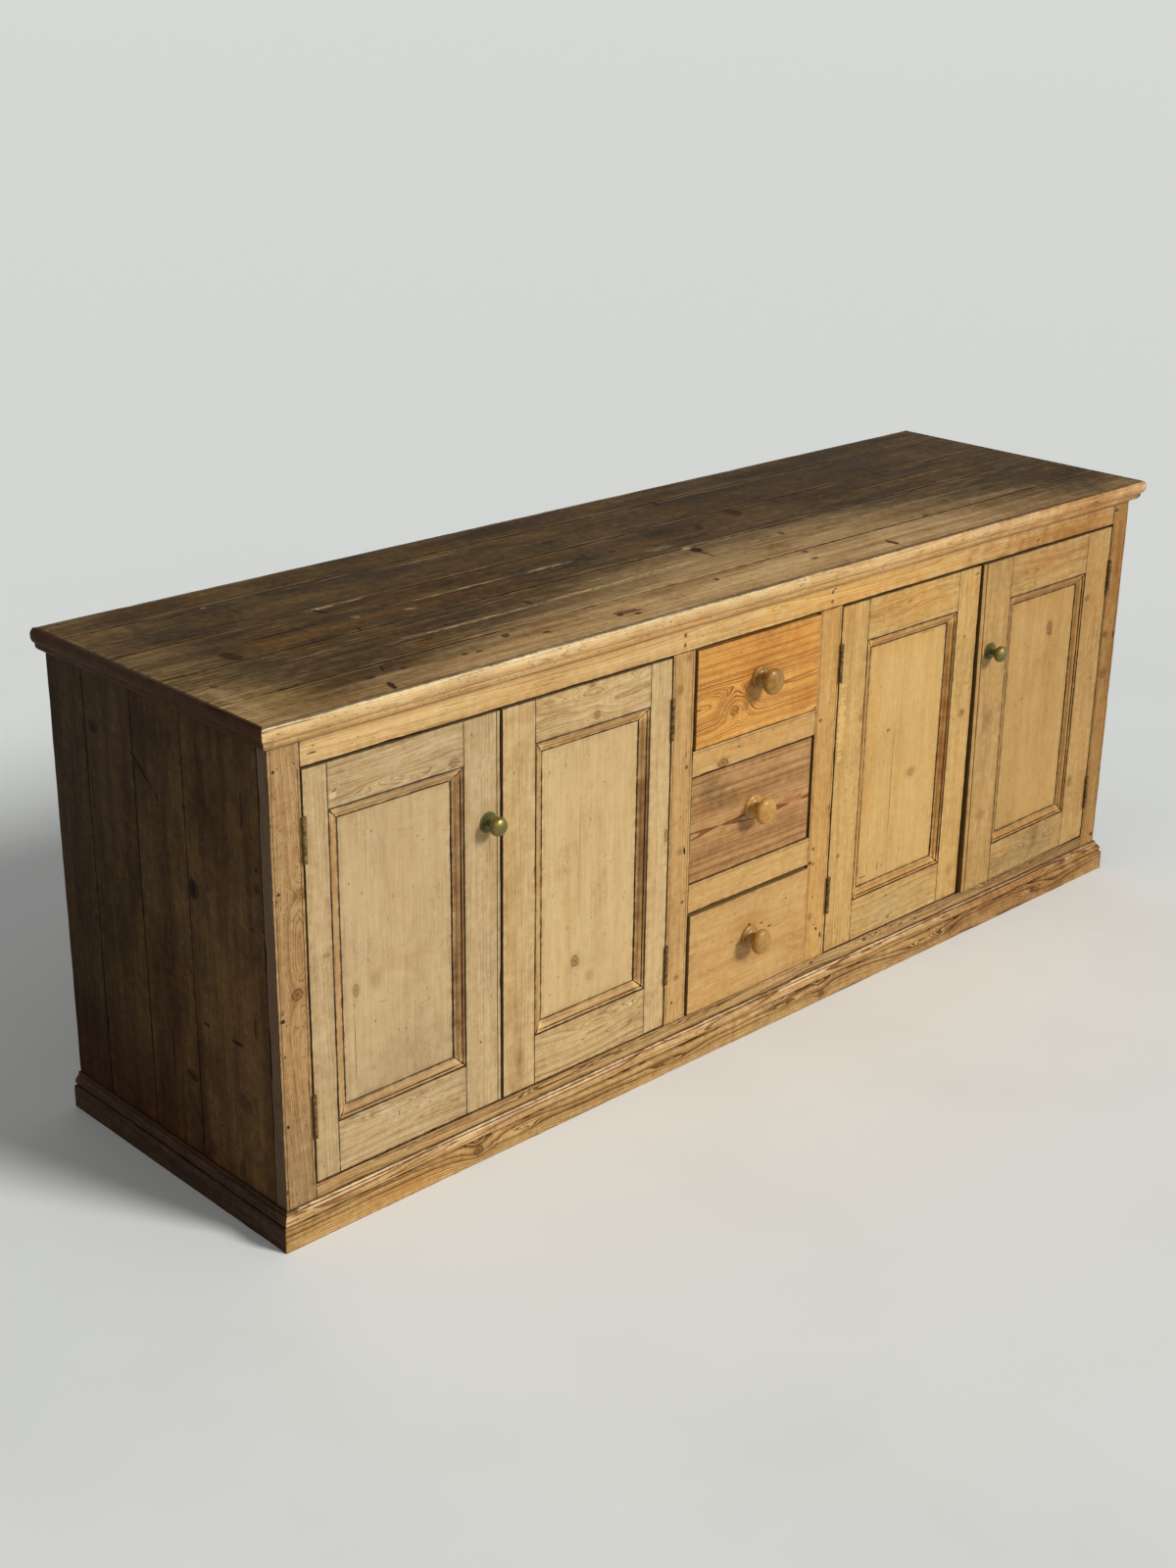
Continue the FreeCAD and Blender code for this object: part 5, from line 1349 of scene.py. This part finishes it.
class SIDEBOARD_OT_drawers(Maker):
    """Three drawers, each front from a different board"""
    bl_idname = "sideboard.drawers"
    bl_label = "Drawers"

    def execute(self, context):
        for number, figure, look in (
            (1, "tongue", dict(across=-17, contrast=1.35, mottle=0.3, cloud=0.1, ripple=0.35,
                               late=(0.70, 0.56, 0.36))),
            (2, "tongue", dict(across=-13, contrast=1.5, mottle=0.5, cloud=0.25, ripple=0.3,
                               late=(0.62, 0.49, 0.34), grime=0.5)),
            (3, "quiet", dict(contrast=0.12)),
        ):
            front = f"drawer_{number}_front"
            # The sides of the drawer fronts get painted shade in the wax colour
            material = old_pine(front, f"drawer_{number}", figure, joint=0.7, sides=0.6, **look)
            dress(front, material, "drawer_wood", along=0, wear=1.1)
            box = f"drawer_{number}_box"
            material = old_pine(box, "inside", "cathedral", contrast=0.45, joint=0.6)
            dress(box, material, "inside_wood", pitch=3)
        return {"FINISHED"}


class SIDEBOARD_OT_knobs(Maker):
    """The turned drawer knobs"""
    bl_idname = "sideboard.knobs"
    bl_label = "Drawer knobs"

    def execute(self, context):
        for number, factors, cloud in (
            (1, (0.88, 0.86, 0.68), 0.4), (2, (1.06, 1.08, 0.94), 0.3), (3, (0.96, 0.97, 0.80), 0.4),
        ):
            node = f"drawer_{number}_knob"
            material = old_pine(node, "knob", "cathedral", factors=factors, contrast=0.6, mottle=0.7,
                                cloud=cloud, flecks=0.8, joint=0.0, flat=0.0, wear=0.5, grime=0.0,
                                sheen=0.3, gloss=0.26)
            dress(node, material, "knob_wood", pitch=0, arris=0, wear=0, along=1, moulded=True, smooth=50,
                  tidy=False)
        return {"FINISHED"}


class SIDEBOARD_OT_metal(Maker):
    """Brass latches, iron hinges and bolts"""
    bl_idname = "sideboard.metal"
    bl_label = "Metalwork"

    def execute(self, context):
        brass = old_metal("brass", "brass", "verdigris", 0.75, 0.28)
        iron = old_metal("iron", "iron", "rust", 0.85, 0.4)
        for number in (1, 4):
            for part in ("rose", "knob"):
                dress(f"door_{number}_latch_{part}", brass, "brass", pitch=0, arris=0, wear=0, along=1,
                      moulded=True, smooth=40, tidy=False)
        for node in ("hinge_frame_leaves", "hinge_pins", "bolt_keeps",
                     *(f"door_{number}_hinge_leaves" for number in (1, 2, 3, 4)),
                     *(f"door_{number}_{part}" for number in (2, 3) for part in ("bolt_plate", "bolt"))):
            coat(node, iron)
        return {"FINISHED"}


# The camera as the photograph was taken: its place, and how it turns, tilts and rolls from level, in degrees
CAMERA_PLACE = (-2.8415, Y_FRONT - 2.4652, 1.9938)
CAMERA_TURN = -43.910
CAMERA_TILT = -21.745
CAMERA_ROLL = 0.773
# Its focal length and the photograph's height, in pixels
FOCAL_PIXELS = 2210.5
PICTURE_HEIGHT = 1600
# From the object towards the lamp, and half the width of the floor
LAMP_DIRECTION = Vector((0.44, -1.0, 0.66))
FLOOR_REACH = 90


class SIDEBOARD_OT_stage(Maker):
    """The pale floor, the soft light and the camera"""
    bl_idname = "sideboard.stage"
    bl_label = "Stage"

    def execute(self, context):
        scene = context.scene
        scene.view_settings.view_transform = "Standard"
        data = bpy.data.cameras.new("camera")
        data.sensor_width = 36
        data.lens = FOCAL_PIXELS / PICTURE_HEIGHT * data.sensor_width
        camera = bpy.data.objects.new("camera", data)
        turn, tilt, roll = (math.radians(a) for a in (CAMERA_TURN, 90 + CAMERA_TILT, CAMERA_ROLL))
        pose = Matrix.Rotation(turn, 4, "Z") @ Matrix.Rotation(tilt, 4, "X") @ Matrix.Rotation(roll, 4, "Z")
        pose.translation = CAMERA_PLACE
        camera.matrix_world = pose
        scene.collection.objects.link(camera)
        scene.camera = camera

        material, net, shader = new_material("floor")
        place = net.add("ShaderNodeTexCoord").outputs["Object"]
        patch = net.step(net.noise(place, 1.4, 4, 0.5), 0.4, 0.7)
        far = net.vector("LENGTH", place, out=1)
        patch = net.times(patch, net.step(far, 4.0, 1.5))
        net.feed(shader["Base Color"], net.mix(patch, paint("floor"), paint("floor", (0.975, 0.975, 0.97))))
        shader["Roughness"].default_value = 0.75
        mesh = bpy.data.meshes.new("floor")
        corners = [(x * FLOOR_REACH, y * FLOOR_REACH, 0) for x, y in ((-1, -1), (1, -1), (1, 1), (-1, 1))]
        mesh.from_pydata(corners, [], [(0, 1, 2, 3)])
        mesh.materials.append(material)
        floor = bpy.data.objects.new("floor", mesh)
        scene.collection.objects.link(floor)

        sun = bpy.data.lights.new("key", "SUN")
        sun.energy = 2.85
        sun.angle = math.radians(16)
        sun.color = (1.0, 0.99, 0.975)
        key = bpy.data.objects.new("key", sun)
        key.rotation_euler = LAMP_DIRECTION.to_track_quat("Z", "Y").to_euler()
        scene.collection.objects.link(key)

        world = bpy.data.worlds.new("sky")
        world.use_nodes = True
        scene.world = world
        net = Net(world.node_tree)
        path = net.add("ShaderNodeLightPath").outputs
        seen = net.most(path["Is Camera Ray"], path["Is Glossy Ray"])
        seen = net.most(seen, path["Is Transmission Ray"])
        backdrop = net.add("ShaderNodeBackground", {"Color": paint("floor"), "Strength": 0.95})
        sky = net.add("ShaderNodeBackground", {"Color": (1.0, 1.0, 1.0, 1.0), "Strength": 0.26})
        blend = net.add("ShaderNodeMixShader", {0: seen, 1: sky.outputs[0], 2: backdrop.outputs[0]})
        net.feed(world.node_tree.nodes["World Output"].inputs["Surface"], blend.outputs[0])
        return {"FINISHED"}


OPERATORS = (
    SIDEBOARD_OT_top, SIDEBOARD_OT_nosing, SIDEBOARD_OT_face_frame, SIDEBOARD_OT_sides, SIDEBOARD_OT_inside,
    SIDEBOARD_OT_base, SIDEBOARD_OT_doors, SIDEBOARD_OT_drawers, SIDEBOARD_OT_knobs, SIDEBOARD_OT_metal,
    SIDEBOARD_OT_stage,
)


class SIDEBOARD_PT_panel(bpy.types.Panel):
    """Every size, colour and operator of the sideboard"""
    bl_idname = "SIDEBOARD_PT_panel"
    bl_label = "Pine sideboard"
    bl_space_type = "VIEW_3D"
    bl_region_type = "UI"
    bl_category = "Sideboard"

    def draw(self, context):
        for owner in (context.scene.sideboard_sizes, context.scene.sideboard_colours):
            for name in owner.__annotations__:
                self.layout.prop(owner, name)
        for operator in OPERATORS:
            self.layout.operator(operator.bl_idname)


CLASSES = (SideboardSizes, SideboardColours, *OPERATORS, SIDEBOARD_PT_panel)


def register():
    for made in CLASSES:
        bpy.utils.register_class(made)
    bpy.types.Scene.sideboard_sizes = PointerProperty(type=SideboardSizes)
    bpy.types.Scene.sideboard_colours = PointerProperty(type=SideboardColours)


def unregister():
    del bpy.types.Scene.sideboard_colours
    del bpy.types.Scene.sideboard_sizes
    for made in reversed(CLASSES):
        bpy.utils.unregister_class(made)


def main():
    register()
    for operator in OPERATORS:
        category, name = operator.bl_idname.split(".")
        getattr(getattr(bpy.ops, category), name)()


if __name__ == "__main__":
    main()
